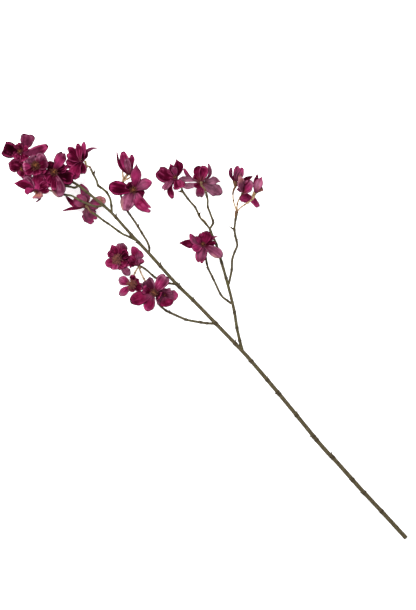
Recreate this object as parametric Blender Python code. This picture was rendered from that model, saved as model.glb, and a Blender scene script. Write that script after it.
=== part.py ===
"""A flowering branch, cut and laid down: one forked woody stem that carries twenty dark magenta blooms.

Run it with blender --background --python part.py, or from Blender's text editor.

The branch is drawn on a plan, which is the flat surface that it lies on seen from above. A place on
the plan is (left, up, height) in millimetres: left of the cut end, up from it, and above the surface.
A heading on the plan is in degrees, with 0 to the right and 90 up. At the end everything hangs on one
empty, which turns the plan so that the stem runs along +Y and its bounding box is centred on the origin.

Pieces: the branch, with its twigs and buds; the stalks at each twig end, with the small cups that hold
the blooms; the petals of each bloom on their base; and the heart of stamens in each open bloom.
"""

import math
from collections import namedtuple

import bmesh
import bpy
from mathutils import Matrix, Vector

MM = 0.001
UP = Vector((0, 0, 1))

# Sizes that drive the rest, in millimetres
STEM_RADIUS = 3.8
SEAT_GAP = 0.3
PETAL_THICKNESS = 0.8
PETAL_ROOT_RADIUS = 3.8
BASE_RADIUS = 5.2
BASE_HEIGHT = 3.2
STALK_RADIUS = 1.2
CUP_FOOT_RADIUS = 1.6
CUP_RADIUS = 3.4
CUP_LENGTH = 5.0
KNOB_LENGTH = 5.0
BUD_RADIUS = 1.4
LONG_BUD = 8.0
LONG_BUD_RADIUS = 1.1

# Round pieces
SIDES = 6
BUD_SIDES = 4
STALK_STEPS = 3
WELD = 1e-6
SHARP_ANGLE = math.radians(40.0)

# A knob swells at its middle and narrows at its end by these shares of its twig's girth
KNOB_SWELL = 1.25
KNOB_END = 0.9

# A bud leans this far forward for each part out, and its tip has this share of its girth
BUD_LEAN = 0.9
BUD_POINT = 0.35

# The heart of an open bloom, in millimetres: rings of stamen tips with the dips between them, as
# (radius, height) of each from the foot up, and the height of the cone in the middle
STAMENS = 6
HEART_RINGS = (((2.6, 0.0), (2.3, 0.0)), ((5.2, 8.0), (2.9, 4.0)), ((2.6, 4.8), (2.0, 4.4)))
HEART_HEIGHT = 6.8

# The plan's up direction leans this far from the direction of the stem
STEM_LEAN = math.radians(43.0)

# A petal's outline, as rows across it: the share of its length at its midrib, how far its edges lag
# behind the midrib, and the share of its half width. Petals up to SHORT_PETAL millimetres long have
# fewer rows
PETAL_ROWS = ((0.0, 0.0, 0.15), (0.34, 0.0, 0.8), (0.68, 0.0, 1.0), (1.0, 0.1, 0.55))
SHORT_PETAL_ROWS = ((0.0, 0.0, 0.15), (0.58, 0.0, 1.0), (1.0, 0.1, 0.55))
SHORT_PETAL = 25.0
PETAL_COLUMNS = (-1, 0, 1)
PETAL_CUP = 0.26

# Petals leave the base at these shares of its height in turn
PETAL_LEVELS = (0.3, 0.7)

# A blade turns its face this share of the way towards the light above it, and has done so by this
# share of its length
FACE_TURN = 0.5
TURN_REACH = 0.5

# A twig tapers slowly at first: its girth falls with this power of the way along it
TAPER_POWER = 2.2

Twig = namedtuple("Twig", "radius tip sides points")
Bud = namedtuple("Bud", "twig along side length")
Bloom = namedtuple("Bloom", "place faces heart petals")

# The twigs: radius at the foot and at the tip, sides, and places along the middle
TWIGS = {
    "stem": Twig(STEM_RADIUS, 2.0, 8, (
        (0, 0, 3.4), (50, 53, 6), (91, 97, 8), (147, 162, 11), (201, 224, 14), (258, 293, 17),
        (319, 365, 21), (382, 431, 25), (424, 473, 28), (460, 509, 31), (515, 570, 35),
        (551, 609, 38), (588, 650, 41), (607, 667, 43), (656, 706, 46), (680, 720, 48))),
    "right": Twig(2.8, 2.0, SIDES, (
        (329, 378, 22), (334, 396, 23), (339, 422, 25), (344, 453, 28), (352, 486, 31),
        (361, 522, 34), (368, 549, 36), (380, 589, 39), (389, 612, 41), (392, 620, 42))),
    "a_tip": Twig(1.8, 1.5, SIDES, ((656, 706, 46), (671, 705, 45), (685, 706, 43), (701, 713, 42))),
    "a_low": Twig(1.8, 1.5, SIDES, (
        (607, 667, 43), (620, 664, 44), (636, 669, 45), (652, 676, 45), (670, 686, 42),
        (684, 688, 40), (699, 692, 38))),
    "a_side": Twig(2.0, 1.5, SIDES, (
        (590, 653, 41), (589, 666, 43), (592, 680, 45), (599, 693, 46), (607, 700, 47),
        (617, 706, 48), (619, 716, 48), (626, 730, 49), (632, 740, 49))),
    "a_under": Twig(1.9, 1.5, SIDES, (
        (542, 597, 37), (553, 603, 36), (567, 609, 35), (577, 615, 35), (596, 629, 36),
        (606, 636, 38), (619, 646, 40), (629, 652, 41))),
    "b": Twig(1.9, 1.5, SIDES, (
        (515, 570, 35), (515, 583, 36), (519, 594, 37), (530, 612, 38), (543, 633, 38),
        (557, 653, 38), (568, 673, 38), (572, 689, 40), (570, 702, 42))),
    "c_left": Twig(1.9, 1.5, SIDES, (
        (392, 620, 42), (403, 629, 43), (413, 641, 44), (423, 664, 46), (437, 681, 47),
        (447, 696, 48), (450, 701, 48))),
    "c_right": Twig(1.9, 1.5, SIDES, (
        (392, 620, 42), (386, 632, 43), (392, 648, 44), (398, 664, 45), (398, 677, 46),
        (400, 686, 47), (402, 694, 47))),
    "d": Twig(2.0, 1.6, SIDES, (
        (356, 509, 33), (350, 538, 34), (349, 559, 35), (344, 574, 36), (338, 587, 37),
        (342, 605, 38), (344, 619, 39), (342, 639, 40), (340, 650, 41))),
    "e": Twig(1.9, 1.5, SIDES, (
        (351, 470, 30), (366, 484, 30), (373, 490, 30), (381, 507, 31), (389, 524, 32),
        (397, 540, 34), (400, 551, 36), (402, 563, 38))),
    "f": Twig(1.9, 1.5, SIDES, (
        (460, 509, 31), (476, 511, 32), (491, 516, 34), (504, 523, 36), (521, 538, 39), (527, 542, 40))),
    "g": Twig(2.2, 1.6, SIDES, (
        (382, 430, 25), (400, 431, 26), (426, 435, 28), (442, 438, 29), (455, 443, 30),
        (481, 456, 33), (491, 464, 35), (495, 468, 36))),
}

# Buds and old leaf scars: how far along a twig, on which side (90 left, -90 right), and how long
BUDS = (
    Bud("stem", 124, 90, 5), Bud("stem", 159, 75, 4), Bud("stem", 223, -90, 5), Bud("stem", 276, 95, 5),
    Bud("stem", 331, -85, 5), Bud("stem", 386, 90, 5), Bud("stem", 423, -80, 4), Bud("stem", 472, 100, 4),
    Bud("stem", 520, -90, 5), Bud("stem", 575, 150, 4), Bud("stem", 641, -90, 4), Bud("stem", 680, -80, 5),
    Bud("stem", 736, -90, 5), Bud("stem", 800, 100, 4), Bud("stem", 868, -90, 5), Bud("stem", 945, 20, 4),
    Bud("right", 45, -90, 4), Bud("right", 180, 90, 3), Bud("a_side", 88, -70, 10),
    Bud("a_side", 58, -90, 3), Bud("b", 60, -90, 5), Bud("b", 90, 90, 3), Bud("c_left", 92, 80, 9),
    Bud("c_left", 34, -60, 8), Bud("c_right", 18, -90, 3), Bud("d", 90, -90, 4), Bud("d", 128, 80, 12),
    Bud("e", 86, 90, 4), Bud("e", 62, 90, 3), Bud("f", 52, -80, 3), Bud("g", 30, -90, 4),
    Bud("g", 60, 90, 3), Bud("g", 96, -90, 4), Bud("a_under", 66, 90, 3),
)

# The twig under each set of stalks, and the blooms that it carries
STALKS = {
    "a_stem": ("stem", ("a3",)),
    "a_tip": ("a_tip", ("a1", "a2", "a7")),
    "a_low": ("a_low", ("a5",)),
    "a_side": ("a_side", ("a4",)),
    "a_under": ("a_under", ("a6",)),
    "b": ("b", ("b1", "b2")),
    "c_left": ("c_left", ("c1",)),
    "c_right": ("c_right", ("c2",)),
    "d": ("d", ("d1", "d2", "d3")),
    "e": ("e", ("e1",)),
    "f": ("f", ("f1", "f2", "g1", "g2")),
    "g": ("g", ("g3",)),
}

# A bloom: its place; where it faces, as a heading and a turn away from straight up; the size of its
# heart; and its petals. A petal's tip lies right, up and above the place. Then come its width and how
# far it curls back, in degrees: a petal that curls in has less than 0.
BLOOMS = {
    "a1": Bloom((771, 773, 52), (150, 30), 1.0, (
        (-33, 11, 14, 32, -50), (17, 34, 4, 30, 20), (55, 11, 14, 21, 30), (-8, 16, 18, 20, -20),
        (14, -16, 10, 20, 10), (-15, -12, 5, 20, 10), (16, 10, 16, 15, 0))),
    "a2": Bloom((742, 745, 64), (100, 12), 1.0, (
        (-26, 0, 12, 24, -30), (-11, 18, 16, 24, -30), (14, 25, 12, 23, 10), (25, 5, 13, 24, 20),
        (5, -18, 12, 22, 0), (-22, -15, 8, 22, 0), (21, -13, 7, 18, 10))),
    "a3": Bloom((706, 732, 60), (60, 15), 1.0, (
        (-10, 22, 8, 18, 20), (20, 40, 18, 26, 10), (41, -13, 18, 33, -40), (12, -49, 2, 29, 40),
        (-8, -24, 8, 20, 10), (-18, -6, 0, 18, 10), (26, 12, 5, 22, 10))),
    "a4": Bloom((650, 753, 52), (95, 70), 0.5, (
        (-25, 28, 0, 15, 20), (-7, 35, 18, 15, 10), (6, 39, 4, 10, -10), (33, 27, -8, 6, 50),
        (15, 23, -14, 14, 20), (-31, 15, 10, 18, 30), (4, -22, 0, 15, 50),
        (-17, -33, 12, 23, 50), (-31, -3, 6, 20, 20))),
    "a5": Bloom((741, 697, 46), (-100, 40), 0.9, (
        (-42, 17, 8, 21, 20), (-19, -4, 8, 16, 10), (-14, 31, 8, 22, 20), (10, 33, 10, 28, 0),
        (27, 14, 8, 22, 10), (25, -1, 2, 14, 20), (0, -25, -4, 8, 50), (-1, -15, 10, 27, -25))),
    "a6": Bloom((641, 665, 34), (150, 150), 0.8, (
        (-10, 45, -10, 21, 20), (28, 5, -8, 22, 20), (38, 13, -18, 19, 20),
        (-17, 22, -6, 25, 10), (-41, 20, -12, 8, 30), (-47, -9, -8, 7, 30),
        (6, -32, -32, 30, 10))),
    "a7": Bloom((765, 741, 30), (195, 60), 0.8, (
        (-31, 6, 2, 29, -20), (-11, -18, -8, 20, 10), (-4, -20, -30, 20, 10),
        (-12, 20, -4, 18, 10), (14, -14, -30, 18, 20))),
    "b1": Bloom((553, 729, 52), (105, 80), 0.45, (
        (-25, 43, 2, 6, -15), (-16, 44, 8, 18, -10), (5, 38, 4, 13, 10), (-7, 30, 17, 15, 0),
        (0, 34, -12, 12, 10))),
    "b2": Bloom((546, 696, 60), (120, 12), 1.0, (
        (-50, 9, 8, 29, 25), (37, 18, 12, 24, 15), (9, 52, 20, 21, 10), (-17, -41, 4, 28, 30),
        (33, -42, 4, 23, 30), (19, -7, -4, 18, 30), (-12, 8, 16, 16, -20))),
    "c1": Bloom((462, 720, 58), (110, 30), 1.0, (
        (-35, 15, 12, 32, -50), (-10, 30, 10, 13, 0), (4, 39, 14, 18, -10),
        (-4, 24, 20, 13, -10), (-25, -22, -6, 16, 30), (-12, -41, -16, 12, 20),
        (13, -18, 12, 25, 40))),
    "c2": Bloom((411, 713, 38), (85, 130), 0.7, (
        (-8, 33, -4, 22, -20), (5, 32, 2, 18, -20), (19, 37, -10, 7, 20), (38, 2, -16, 18, 40),
        (38, -26, -38, 27, 20), (-3, -29, -38, 18, 20), (-38, 9, -8, 11, 20),
        (-35, 28, -12, 10, -20), (-40, -9, -14, 11, 20))),
    "d1": Bloom((342, 714, 50), (95, 82), 0.45, (
        (-12, 28, 0, 8, -20), (5, 32, 12, 15, -10), (16, 28, 4, 14, 0), (3, 30, -12, 12, 10),
        (-3, 14, 10, 11, 0))),
    "d2": Bloom((325, 692, 50), (50, 60), 0.5, (
        (-8, 34, 24, 15, 10), (23, 35, 2, 13, 10), (15, 25, 18, 22, -10), (0, -20, -10, 30, 50),
        (27, -27, -12, 15, 30), (-8, 10, 18, 15, -10))),
    "d3": Bloom((302, 692, 61), (68, 80), 0.0, (
        (4, 34, 0, 10, -10), (11, 31, 10, 17, -20), (8, 26, -12, 14, -10), (14, 12, 0, 13, -10))),
    "e1": Bloom((407, 586, 56), (100, 30), 1.0, (
        (-6, 25, 10, 13, -20), (9, 29, 16, 22, -10), (-29, 23, 12, 15, 20), (-16, 19, 20, 10, 0),
        (-46, 5, 4, 17, 20), (-18, -8, 14, 18, 20), (-5, -35, 2, 25, 30), (37, -26, 8, 21, 30),
        (29, 18, 2, 9, 20), (21, 2, 4, 17, 20))),
    "f1": Bloom((576, 558, 50), (165, 35), 1.0, (
        (-20, 14, 8, 17, -10), (-15, 30, 8, 18, 0), (3, 32, 16, 24, -30), (20, 16, 10, 22, 0),
        (-27, -9, 4, 21, -30), (-12, -20, 0, 19, 20), (10, -14, 6, 21, 20),
        (20, -30, -4, 16, 30), (20, -3, 2, 18, 10))),
    "f2": Bloom((536, 546, 50), (110, 80), 0.45, (
        (-11, 37, 4, 18, 0), (1, 31, 12, 19, 10), (5, 14, 10, 18, 20), (-19, 18, 4, 21, 20),
        (-20, 2, 8, 17, 20))),
    "g1": Bloom((550, 508, 50), (100, 15), 1.0, (
        (-25, 10, 4, 19, 10), (3, 20, 8, 13, -10), (-23, -21, 4, 17, 20), (16, 8, 6, 17, 0),
        (20, -9, 8, 18, -10), (2, -15, 4, 13, 10), (-13, 17, 6, 10, 10))),
    "g2": Bloom((505, 491, 60), (120, 10), 1.0, (
        (-14, 27, 14, 23, -30), (22, 36, 14, 29, 10), (-15, -36, 6, 23, 20),
        (-48, -17, 8, 28, 20), (-23, 9, 16, 20, -20), (8, -9, 10, 15, -10))),
    "g3": Bloom((487, 488, 50), (-20, 35), 0.8, (
        (30, -2, 0, 22, 20), (12, -23, 6, 30, 10), (9, 10, 6, 15, 10), (-10, -20, 0, 17, 20),
        (17, 6, 12, 15, -20), (-14, 10, 4, 15, 20))),
}


def clear_scene():
    for thing in list(bpy.data.objects):
        bpy.data.objects.remove(thing, do_unlink=True)


def plan(left, up, height):
    """A place on the plan, in metres."""
    return Vector((-left, up, height)) * MM


def aim(heading, rise):
    """The direction of a heading on the plan that also rises above it, both in degrees."""
    turn, lift = math.radians(heading), math.radians(rise)
    return Vector((math.cos(turn) * math.cos(lift), math.sin(turn) * math.cos(lift), math.sin(lift)))


def finish(name, colour, roughness):
    """A plain Principled material."""
    material = bpy.data.materials.new(name)
    material.use_nodes = True
    shader = material.node_tree.nodes["Principled BSDF"]
    shader.inputs["Base Color"].default_value = (*colour, 1.0)
    shader.inputs["Roughness"].default_value = roughness
    shader.inputs["Metallic"].default_value = 0.0
    return material


def place(name, mesh, material=None):
    """Puts a mesh into the scene as an object."""
    thing = bpy.data.objects.new(name, mesh)
    bpy.context.scene.collection.objects.link(thing)
    if material:
        mesh.materials.append(material)
    return thing


def mesh_from(name, points, faces):
    """A closed mesh whose faces all point outwards."""
    mesh = bpy.data.meshes.new(name)
    mesh.from_pydata(points, [], faces)
    shape = bmesh.new()
    shape.from_mesh(mesh)
    bmesh.ops.recalc_face_normals(shape, faces=shape.faces)
    shape.to_mesh(mesh)
    shape.free()
    return mesh


def evaluated(thing):
    graph = bpy.context.evaluated_depsgraph_get()
    return bpy.data.meshes.new_from_object(thing.evaluated_get(graph))


def keep_outer_shell(mesh):
    """Drops the loose scraps and fills the sealed hollows that a union can leave."""
    shape = bmesh.new()
    shape.from_mesh(mesh)
    left = set(shape.verts)
    shells = []
    while left:
        front = [left.pop()]
        shell = []
        while front:
            corner = front.pop()
            shell.append(corner)
            near = {edge.other_vert(corner) for edge in corner.link_edges} & left
            left -= near
            front += near
        shells.append(shell)
    shells.sort(key=len)
    scraps = [corner for shell in shells[:-1] for corner in shell]
    bmesh.ops.delete(shape, geom=scraps, context="VERTS")
    shape.to_mesh(mesh)
    shape.free()


def fuse(name, body, others, material):
    """Joins the other objects to the body by one Boolean union, and names the result."""
    group = bpy.data.collections.new(name + "_repeats")
    bpy.context.scene.collection.children.link(group)
    for other in others:
        bpy.context.scene.collection.objects.unlink(other)
        group.objects.link(other)
    union = body.modifiers.new("union", "BOOLEAN")
    union.operation = "UNION"
    union.operand_type = "COLLECTION"
    union.collection = group
    mesh = evaluated(body)
    for thing in [*others, body]:
        bpy.data.objects.remove(thing, do_unlink=True)
    bpy.data.collections.remove(group)
    keep_outer_shell(mesh)
    mesh.name = name
    mesh.materials.clear()
    mesh.shade_smooth()
    mesh.set_sharp_from_angle(angle=SHARP_ANGLE)
    return place(name, mesh, material)


def tube(name, points, radii, sides):
    """A tapered round rod through the points, closed at both ends, with four sides or more."""
    curve = bpy.data.curves.new(name, "CURVE")
    curve.dimensions = "3D"
    curve.bevel_depth = 1.0
    curve.bevel_resolution = (sides - 4) // 2
    curve.use_fill_caps = True
    line = curve.splines.new("POLY")
    line.points.add(len(points) - 1)
    for knot, point, radius in zip(line.points, points, radii):
        knot.co = (*point, 1.0)
        knot.radius = radius * MM
    guide = place(name, curve)
    mesh = evaluated(guide)
    bpy.data.objects.remove(guide, do_unlink=True)
    shape = bmesh.new()
    shape.from_mesh(mesh)
    bmesh.ops.remove_doubles(shape, verts=shape.verts, dist=WELD)
    bmesh.ops.recalc_face_normals(shape, faces=shape.faces)
    shape.to_mesh(mesh)
    shape.free()
    return place(name, mesh)


def ring(radius, height, sides, turn, foot):
    """Points round a circle that is turned to its axis and set on its foot."""
    angles = [2 * math.pi * side / sides for side in range(sides)]
    return [foot + turn @ (Vector((radius * math.cos(a), radius * math.sin(a), height)) * MM) for a in angles]


def ring_walls(rings, sides):
    """The walls between rings of points, and a cap at each end."""
    faces = []
    for low in range(0, (rings - 1) * sides, sides):
        for side in range(sides):
            after = (side + 1) % sides
            faces.append((low + side, low + after, low + sides + after, low + sides + side))
    return faces + [tuple(range(sides)), tuple(range((rings - 1) * sides, rings * sides))]


def lathe(name, profile, sides, axis, foot):
    """A turned shape: profile is (radius, height) from its foot to its top, along the axis."""
    turn = UP.rotation_difference(axis)
    points = [point for radius, height in profile for point in ring(radius, height, sides, turn, foot)]
    return place(name, mesh_from(name, points, ring_walls(len(profile), sides)))


def twig_line(name):
    return [plan(*spot) for spot in TWIGS[name].points]


def twig_radii(twig, line):
    """The girth of a twig at each of its points."""
    reach = [0.0]
    for start, end in zip(line, line[1:]):
        reach.append(reach[-1] + (end - start).length)
    return [twig.radius + (twig.tip - twig.radius) * (run / reach[-1]) ** TAPER_POWER for run in reach]


def along(line, distance):
    """The place and direction at a distance in millimetres along a line of points."""
    left = distance * MM
    for start, end in zip(line, line[1:]):
        step = (end - start).length
        if left <= step:
            break
        left -= step
    direction = (end - start).normalized()
    return start + direction * min(left, step), direction


def bud(number, entry):
    """A small pointed bud that leans forward from its twig, rooted in the wood."""
    spot, direction = along(twig_line(entry.twig), entry.along)
    across = UP.cross(direction).normalized()
    outward = Matrix.Rotation(math.radians(entry.side - 90), 3, direction) @ across
    heading = (outward + direction * BUD_LEAN).normalized()
    tip = spot + heading * (TWIGS[entry.twig].tip + entry.length) * MM
    girth = LONG_BUD_RADIUS if entry.length > LONG_BUD else BUD_RADIUS
    return tube(f"bud_{number}", (spot, tip), (girth, girth * BUD_POINT), BUD_SIDES)


def make_branch(material):
    """The stem with its twigs and buds, as one piece of wood. Its underside at the cut is worn flat."""
    parts = []
    for name, twig in TWIGS.items():
        line = twig_line(name)
        parts.append(tube(name, line, twig_radii(twig, line), twig.sides))
    parts += [bud(number, entry) for number, entry in enumerate(BUDS)]
    branch = fuse("branch", parts[0], parts[1:], material)
    for corner in branch.data.vertices:
        corner.co.z = max(corner.co.z, 0.0)
    return branch


def bloom_axis(bloom):
    heading, turn = bloom.faces
    return aim(heading, 90 - turn)


def bend(start, leave, end, arrive, steps):
    """Points on a smooth curve that leaves and arrives in the given directions."""
    pull = (end - start).length
    points = []
    for step in range(steps + 1):
        t = step / steps
        spot = start * (2 * t**3 - 3 * t**2 + 1) + end * (3 * t**2 - 2 * t**3)
        points.append(spot + leave * pull * (t**3 - 2 * t**2 + t) + arrive * pull * (t**3 - t**2))
    return points


def stalk(name, bloom, knob_middle, direction):
    """A stalk from the knob to a bloom, with the cup at its end."""
    axis = bloom_axis(bloom)
    foot = plan(*bloom.place) - axis * (SEAT_GAP + CUP_LENGTH) * MM
    line = bend(knob_middle, direction, foot + axis * MM, axis, STALK_STEPS)
    profile = ((CUP_FOOT_RADIUS, 0), (CUP_RADIUS, CUP_LENGTH))
    return [tube(name + "_stalk", line, [STALK_RADIUS] * len(line), SIDES),
            lathe(name + "_cup", profile, SIDES, axis, foot)]


def make_stalks(name, twig_name, blooms, material):
    """The knob on a twig's end, and a stalk from it to each bloom."""
    line = twig_line(twig_name)
    direction = (line[-1] - line[-2]).normalized()
    foot = line[-1] + direction * SEAT_GAP * MM
    end = foot + direction * KNOB_LENGTH * MM
    middle = (foot + end) / 2
    girth = TWIGS[twig_name].tip
    knob = tube(name + "_knob", (foot, middle, end), (girth, girth * KNOB_SWELL, girth * KNOB_END), SIDES)
    parts = [part for bloom in blooms for part in stalk(bloom, BLOOMS[bloom], middle, direction)]
    return fuse("stalks_" + name, knob, parts, material)


def rest_on_surface(inner, outer):
    """A blade that would reach below the surface bends to lie on it, at its full thickness."""
    lower, higher = (inner, outer) if inner.z < outer.z else (outer, inner)
    if lower.z < 0:
        lower.z = 0.0
        higher.z = max(higher.z, PETAL_THICKNESS * MM)


def blade_faces(rows, columns):
    """Both faces of a blade, split alike, and the wall round its edge."""
    back = rows * columns
    faces = []
    for row in range(rows - 1):
        for column in range(columns - 1):
            a = row * columns + column
            b, c, d = a + 1, a + columns + 1, a + columns
            faces += [(a, b, c), (a, c, d), (back + a, back + c, back + b), (back + a, back + d, back + c)]
    edge = [*range(columns), *range(2 * columns - 1, back, columns)]
    edge += [*range(back - 2, back - columns - 1, -1), *range(back - 2 * columns, 0, -columns)]
    for first, second in zip(edge, edge[1:] + edge[:1]):
        faces += [(first, back + first, back + second), (first, back + second, second)]
    return faces


def petal(name, bloom, level, right, up, above, width, curl):
    """One cupped blade from its level on the bloom's base to its tip, bowed by its curl."""
    axis = bloom_axis(bloom)
    centre = plan(*bloom.place) + axis * BASE_HEIGHT * level * MM
    tip = plan(*bloom.place) + Vector((right, up, above)) * MM
    outward = tip - centre
    outward = (outward - axis * outward.dot(axis)).normalized()
    spot = centre + outward * PETAL_ROOT_RADIUS * MM
    chord = tip - spot
    lean = math.atan2(chord.dot(outward), chord.dot(axis))
    sway = chord.dot(axis.cross(outward))
    bow = math.radians(curl)
    length = chord.length * (bow / 2 / math.sin(bow / 2) if curl else 1.0)
    side = axis.cross(outward)
    middle_slope = axis * math.sin(lean) - outward * math.cos(lean)
    face = math.copysign(1.0, middle_slope.z)
    turn = -face * math.atan2(side.z, abs(middle_slope.z)) * FACE_TURN
    rows = PETAL_ROWS if chord.length > SHORT_PETAL * MM else SHORT_PETAL_ROWS
    last = 0.0
    inner, outer = [], []
    for share, lag, breadth in rows:
        slope = lean + bow * ((share + last) / 2 - 0.5)
        step = outward * math.sin(slope) + axis * math.cos(slope)
        spot = spot + step * (share - last) * length + side * sway * (share - last)
        last = share
        slope = lean + bow * (share - 0.5)
        tangent = outward * math.sin(slope) + axis * math.cos(slope)
        roll = Matrix.Rotation(turn * min(1.0, share / TURN_REACH), 3, tangent)
        across = roll @ side
        normal = roll @ (axis * math.sin(slope) - outward * math.cos(slope))
        half = width / 2 * breadth
        for column in PETAL_COLUMNS:
            edge = abs(column)
            point = spot + (across * column * half + normal * PETAL_CUP * half * edge) * MM
            point -= tangent * lag * length * edge
            above_it = point + normal * PETAL_THICKNESS / 2 * MM
            below_it = point - normal * PETAL_THICKNESS / 2 * MM
            rest_on_surface(above_it, below_it)
            inner.append(above_it)
            outer.append(below_it)
    faces = blade_faces(len(rows), len(PETAL_COLUMNS))
    return place(name, mesh_from(name, inner + outer, faces))


def make_petals(name, bloom, material):
    """A bloom's petals, on the small round base that carries them."""
    profile = ((CUP_RADIUS, 0), (BASE_RADIUS, BASE_HEIGHT))
    base = lathe(name + "_base", profile, SIDES, bloom_axis(bloom), plan(*bloom.place))
    blades = []
    for number, shape in enumerate(bloom.petals):
        level = PETAL_LEVELS[number % len(PETAL_LEVELS)]
        blades.append(petal(f"{name}_petal_{number}", bloom, level, *shape))
    return fuse(f"bloom_{name}_petals", base, blades, material)


def make_heart(name, bloom, material):
    """The heart of an open bloom: a crown of stamens round a blunt cone."""
    axis = bloom_axis(bloom)
    foot = plan(*bloom.place) + axis * (BASE_HEIGHT + SEAT_GAP) * MM
    turn = UP.rotation_difference(axis)
    sides = STAMENS * 2
    size = bloom.heart
    points = []
    for stamen, dip in HEART_RINGS:
        high = ring(stamen[0] * size, stamen[1] * size, sides, turn, foot)
        low = ring(dip[0] * size, dip[1] * size, sides, turn, foot)
        points += [low[number] if number % 2 else high[number] for number in range(sides)]
    faces = ring_walls(len(HEART_RINGS), sides)[:-1]
    points.append(foot + axis * HEART_HEIGHT * size * MM)
    top = (len(HEART_RINGS) - 1) * sides
    faces += [(top + number, top + (number + 1) % sides, top + sides) for number in range(sides)]
    return place(f"bloom_{name}_heart", mesh_from(name, points, faces), material)


def lay_down(things):
    """Turns the plan so that the stem runs along +Y, and centres the whole on the origin."""
    turn = Matrix.Rotation(-STEM_LEAN, 4, "Z")
    spots = [turn @ corner.co for thing in things for corner in thing.data.vertices]
    across, along_stem = [spot.x for spot in spots], [spot.y for spot in spots]
    holder = bpy.data.objects.new("surface_plan", None)
    bpy.context.scene.collection.objects.link(holder)
    holder.rotation_euler = (0, 0, -STEM_LEAN)
    holder.location = (-(min(across) + max(across)) / 2, -(min(along_stem) + max(along_stem)) / 2, 0)
    for thing in things:
        thing.parent = holder


def main():
    clear_scene()
    wood = finish("wood", (0.105, 0.085, 0.045), 0.75)
    tan = finish("stalk", (0.42, 0.25, 0.11), 0.6)
    magenta = finish("petal", (0.19, 0.017, 0.085), 0.6)
    gold = finish("heart", (0.25, 0.14, 0.03), 0.7)
    things = [make_branch(wood)]
    for name, (twig, blooms) in STALKS.items():
        things.append(make_stalks(name, twig, blooms, tan))
    for name, bloom in BLOOMS.items():
        things.append(make_petals(name, bloom, magenta))
        if bloom.heart:
            things.append(make_heart(name, bloom, gold))
    lay_down(things)


main()
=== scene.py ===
"""Dresses a cut flowering branch that lies on a pale surface and is seen from above.

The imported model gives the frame. The bark, the stalks, the petals and the hearts of stamens are made
finer here, in the places that the solids hold, and the solids are hidden behind them.

A place on the plan is (left, up, height) in millimetres: left of the cut end, up from it, and above
the surface that the branch lies on. The plan is turned so that the stem runs along +Y.
"""

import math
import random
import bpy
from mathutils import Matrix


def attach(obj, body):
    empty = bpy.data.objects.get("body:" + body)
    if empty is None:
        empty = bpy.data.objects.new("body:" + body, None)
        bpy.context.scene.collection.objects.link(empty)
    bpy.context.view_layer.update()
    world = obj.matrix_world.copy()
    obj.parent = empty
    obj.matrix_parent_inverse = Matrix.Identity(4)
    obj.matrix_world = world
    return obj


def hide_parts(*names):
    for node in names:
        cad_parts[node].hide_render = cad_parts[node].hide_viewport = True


bl_info = {
    "name": "Flowering Branch",
    "version": (1, 0, 0),
    "blender": (4, 5, 0),
    "location": "View3D > Sidebar > Branch",
    "description": "Bark, stalks, veined petals and stamens for a cut flowering branch",
    "category": "Add Mesh",
}

from collections import namedtuple

import bmesh
import bpy
from bpy.props import FloatProperty, FloatVectorProperty, IntProperty, PointerProperty
from mathutils import Matrix, Vector, noise

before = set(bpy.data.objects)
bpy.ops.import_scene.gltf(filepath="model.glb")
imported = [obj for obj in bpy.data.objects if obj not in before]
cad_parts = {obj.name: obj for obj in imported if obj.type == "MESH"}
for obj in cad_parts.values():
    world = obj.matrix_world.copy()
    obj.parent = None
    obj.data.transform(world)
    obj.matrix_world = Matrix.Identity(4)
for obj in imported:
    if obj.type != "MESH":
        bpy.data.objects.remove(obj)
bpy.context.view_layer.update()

# A millimetre in metres, a full turn in radians, rounded down, and the way up
MM = 0.001
CIRCLE = 6.28
UP = Vector((0, 0, 1))

# The plan's up direction leans this far from the stem, and the cut end is at this place in the frame
STEM_LEAN = math.radians(43.0)
CUT_END = Vector((-0.094513, -0.561242, 0.0))
LAID = Matrix.Translation(CUT_END) @ Matrix.Rotation(-STEM_LEAN, 4, "Z")

# The middle of the view on the plan, and how much of the plan it takes in from bottom to top
VIEW_MIDDLE = (397.5, 467.5, 40)
VIEW_HEIGHT = 1220

# The surface and the lamp, in metres. The lamp's place is right, up and above the middle of the view.
FLOOR_HALF = 6.0
FLOOR_DROP = 0.0003
LAMP_SIZE = 1.6
LAMP_PLACE = (-0.9, 1.1, 1.9)

# Seats, bases, stalks, cups and knobs, in millimetres
SEAT_GAP = 0.3
PETAL_ROOT_RADIUS = 3.8
BASE_RADIUS = 5.2
BASE_HEIGHT = 3.2
STALK_RADIUS = 1.55
CUP_FOOT_RADIUS = 1.6
CUP_RADIUS = 3.4
CUP_LENGTH = 5.0
KNOB_LENGTH = 5.0

# Where along a stalk its joints lie, how late a cup flares, how much of a cup is rim at either end, how
# brown cups and rims are, and how late a bract changes its girth
STALK_JOINTS = (0.42, 0.78)
CUP_FLARE = 1.6
RIM_SHARE = 0.15
CUP_BROWN = 0.55
RIM_BROWN = 0.85
BRACT_TAPER = 1.5

# How far a knob bulges, how deep its rings are and how closely they follow each other
KNOB_BULGE = 0.22
RING_DEPTH = 0.10
RING_PACE = 1.9

# Twigs: how far their corners are rounded, how late they thin, how fast their girth wanders, how much
# of their girth stays above the surface, and how far a bud leans along its twig
CORNER_ROUNDING = 0.6
TAPER_POWER = 2.2
WANDER_PACE = 60
GROUND_SHARE = 0.92
BUD_LEAN = 0.9

# Steps along twigs and bracts, how far along them the joints, nodes and ends swell, and the widest bud,
# in metres
TWIG_STEP = 0.0025
BRACT_STEP = 0.001
JOINT_WIDTH = 0.0016
NODE_WIDTH = 0.0028
STALK_END_WIDTH = 0.006
TWIG_END_WIDTH = 0.012
BUD_WIDTH = 0.0065

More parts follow.
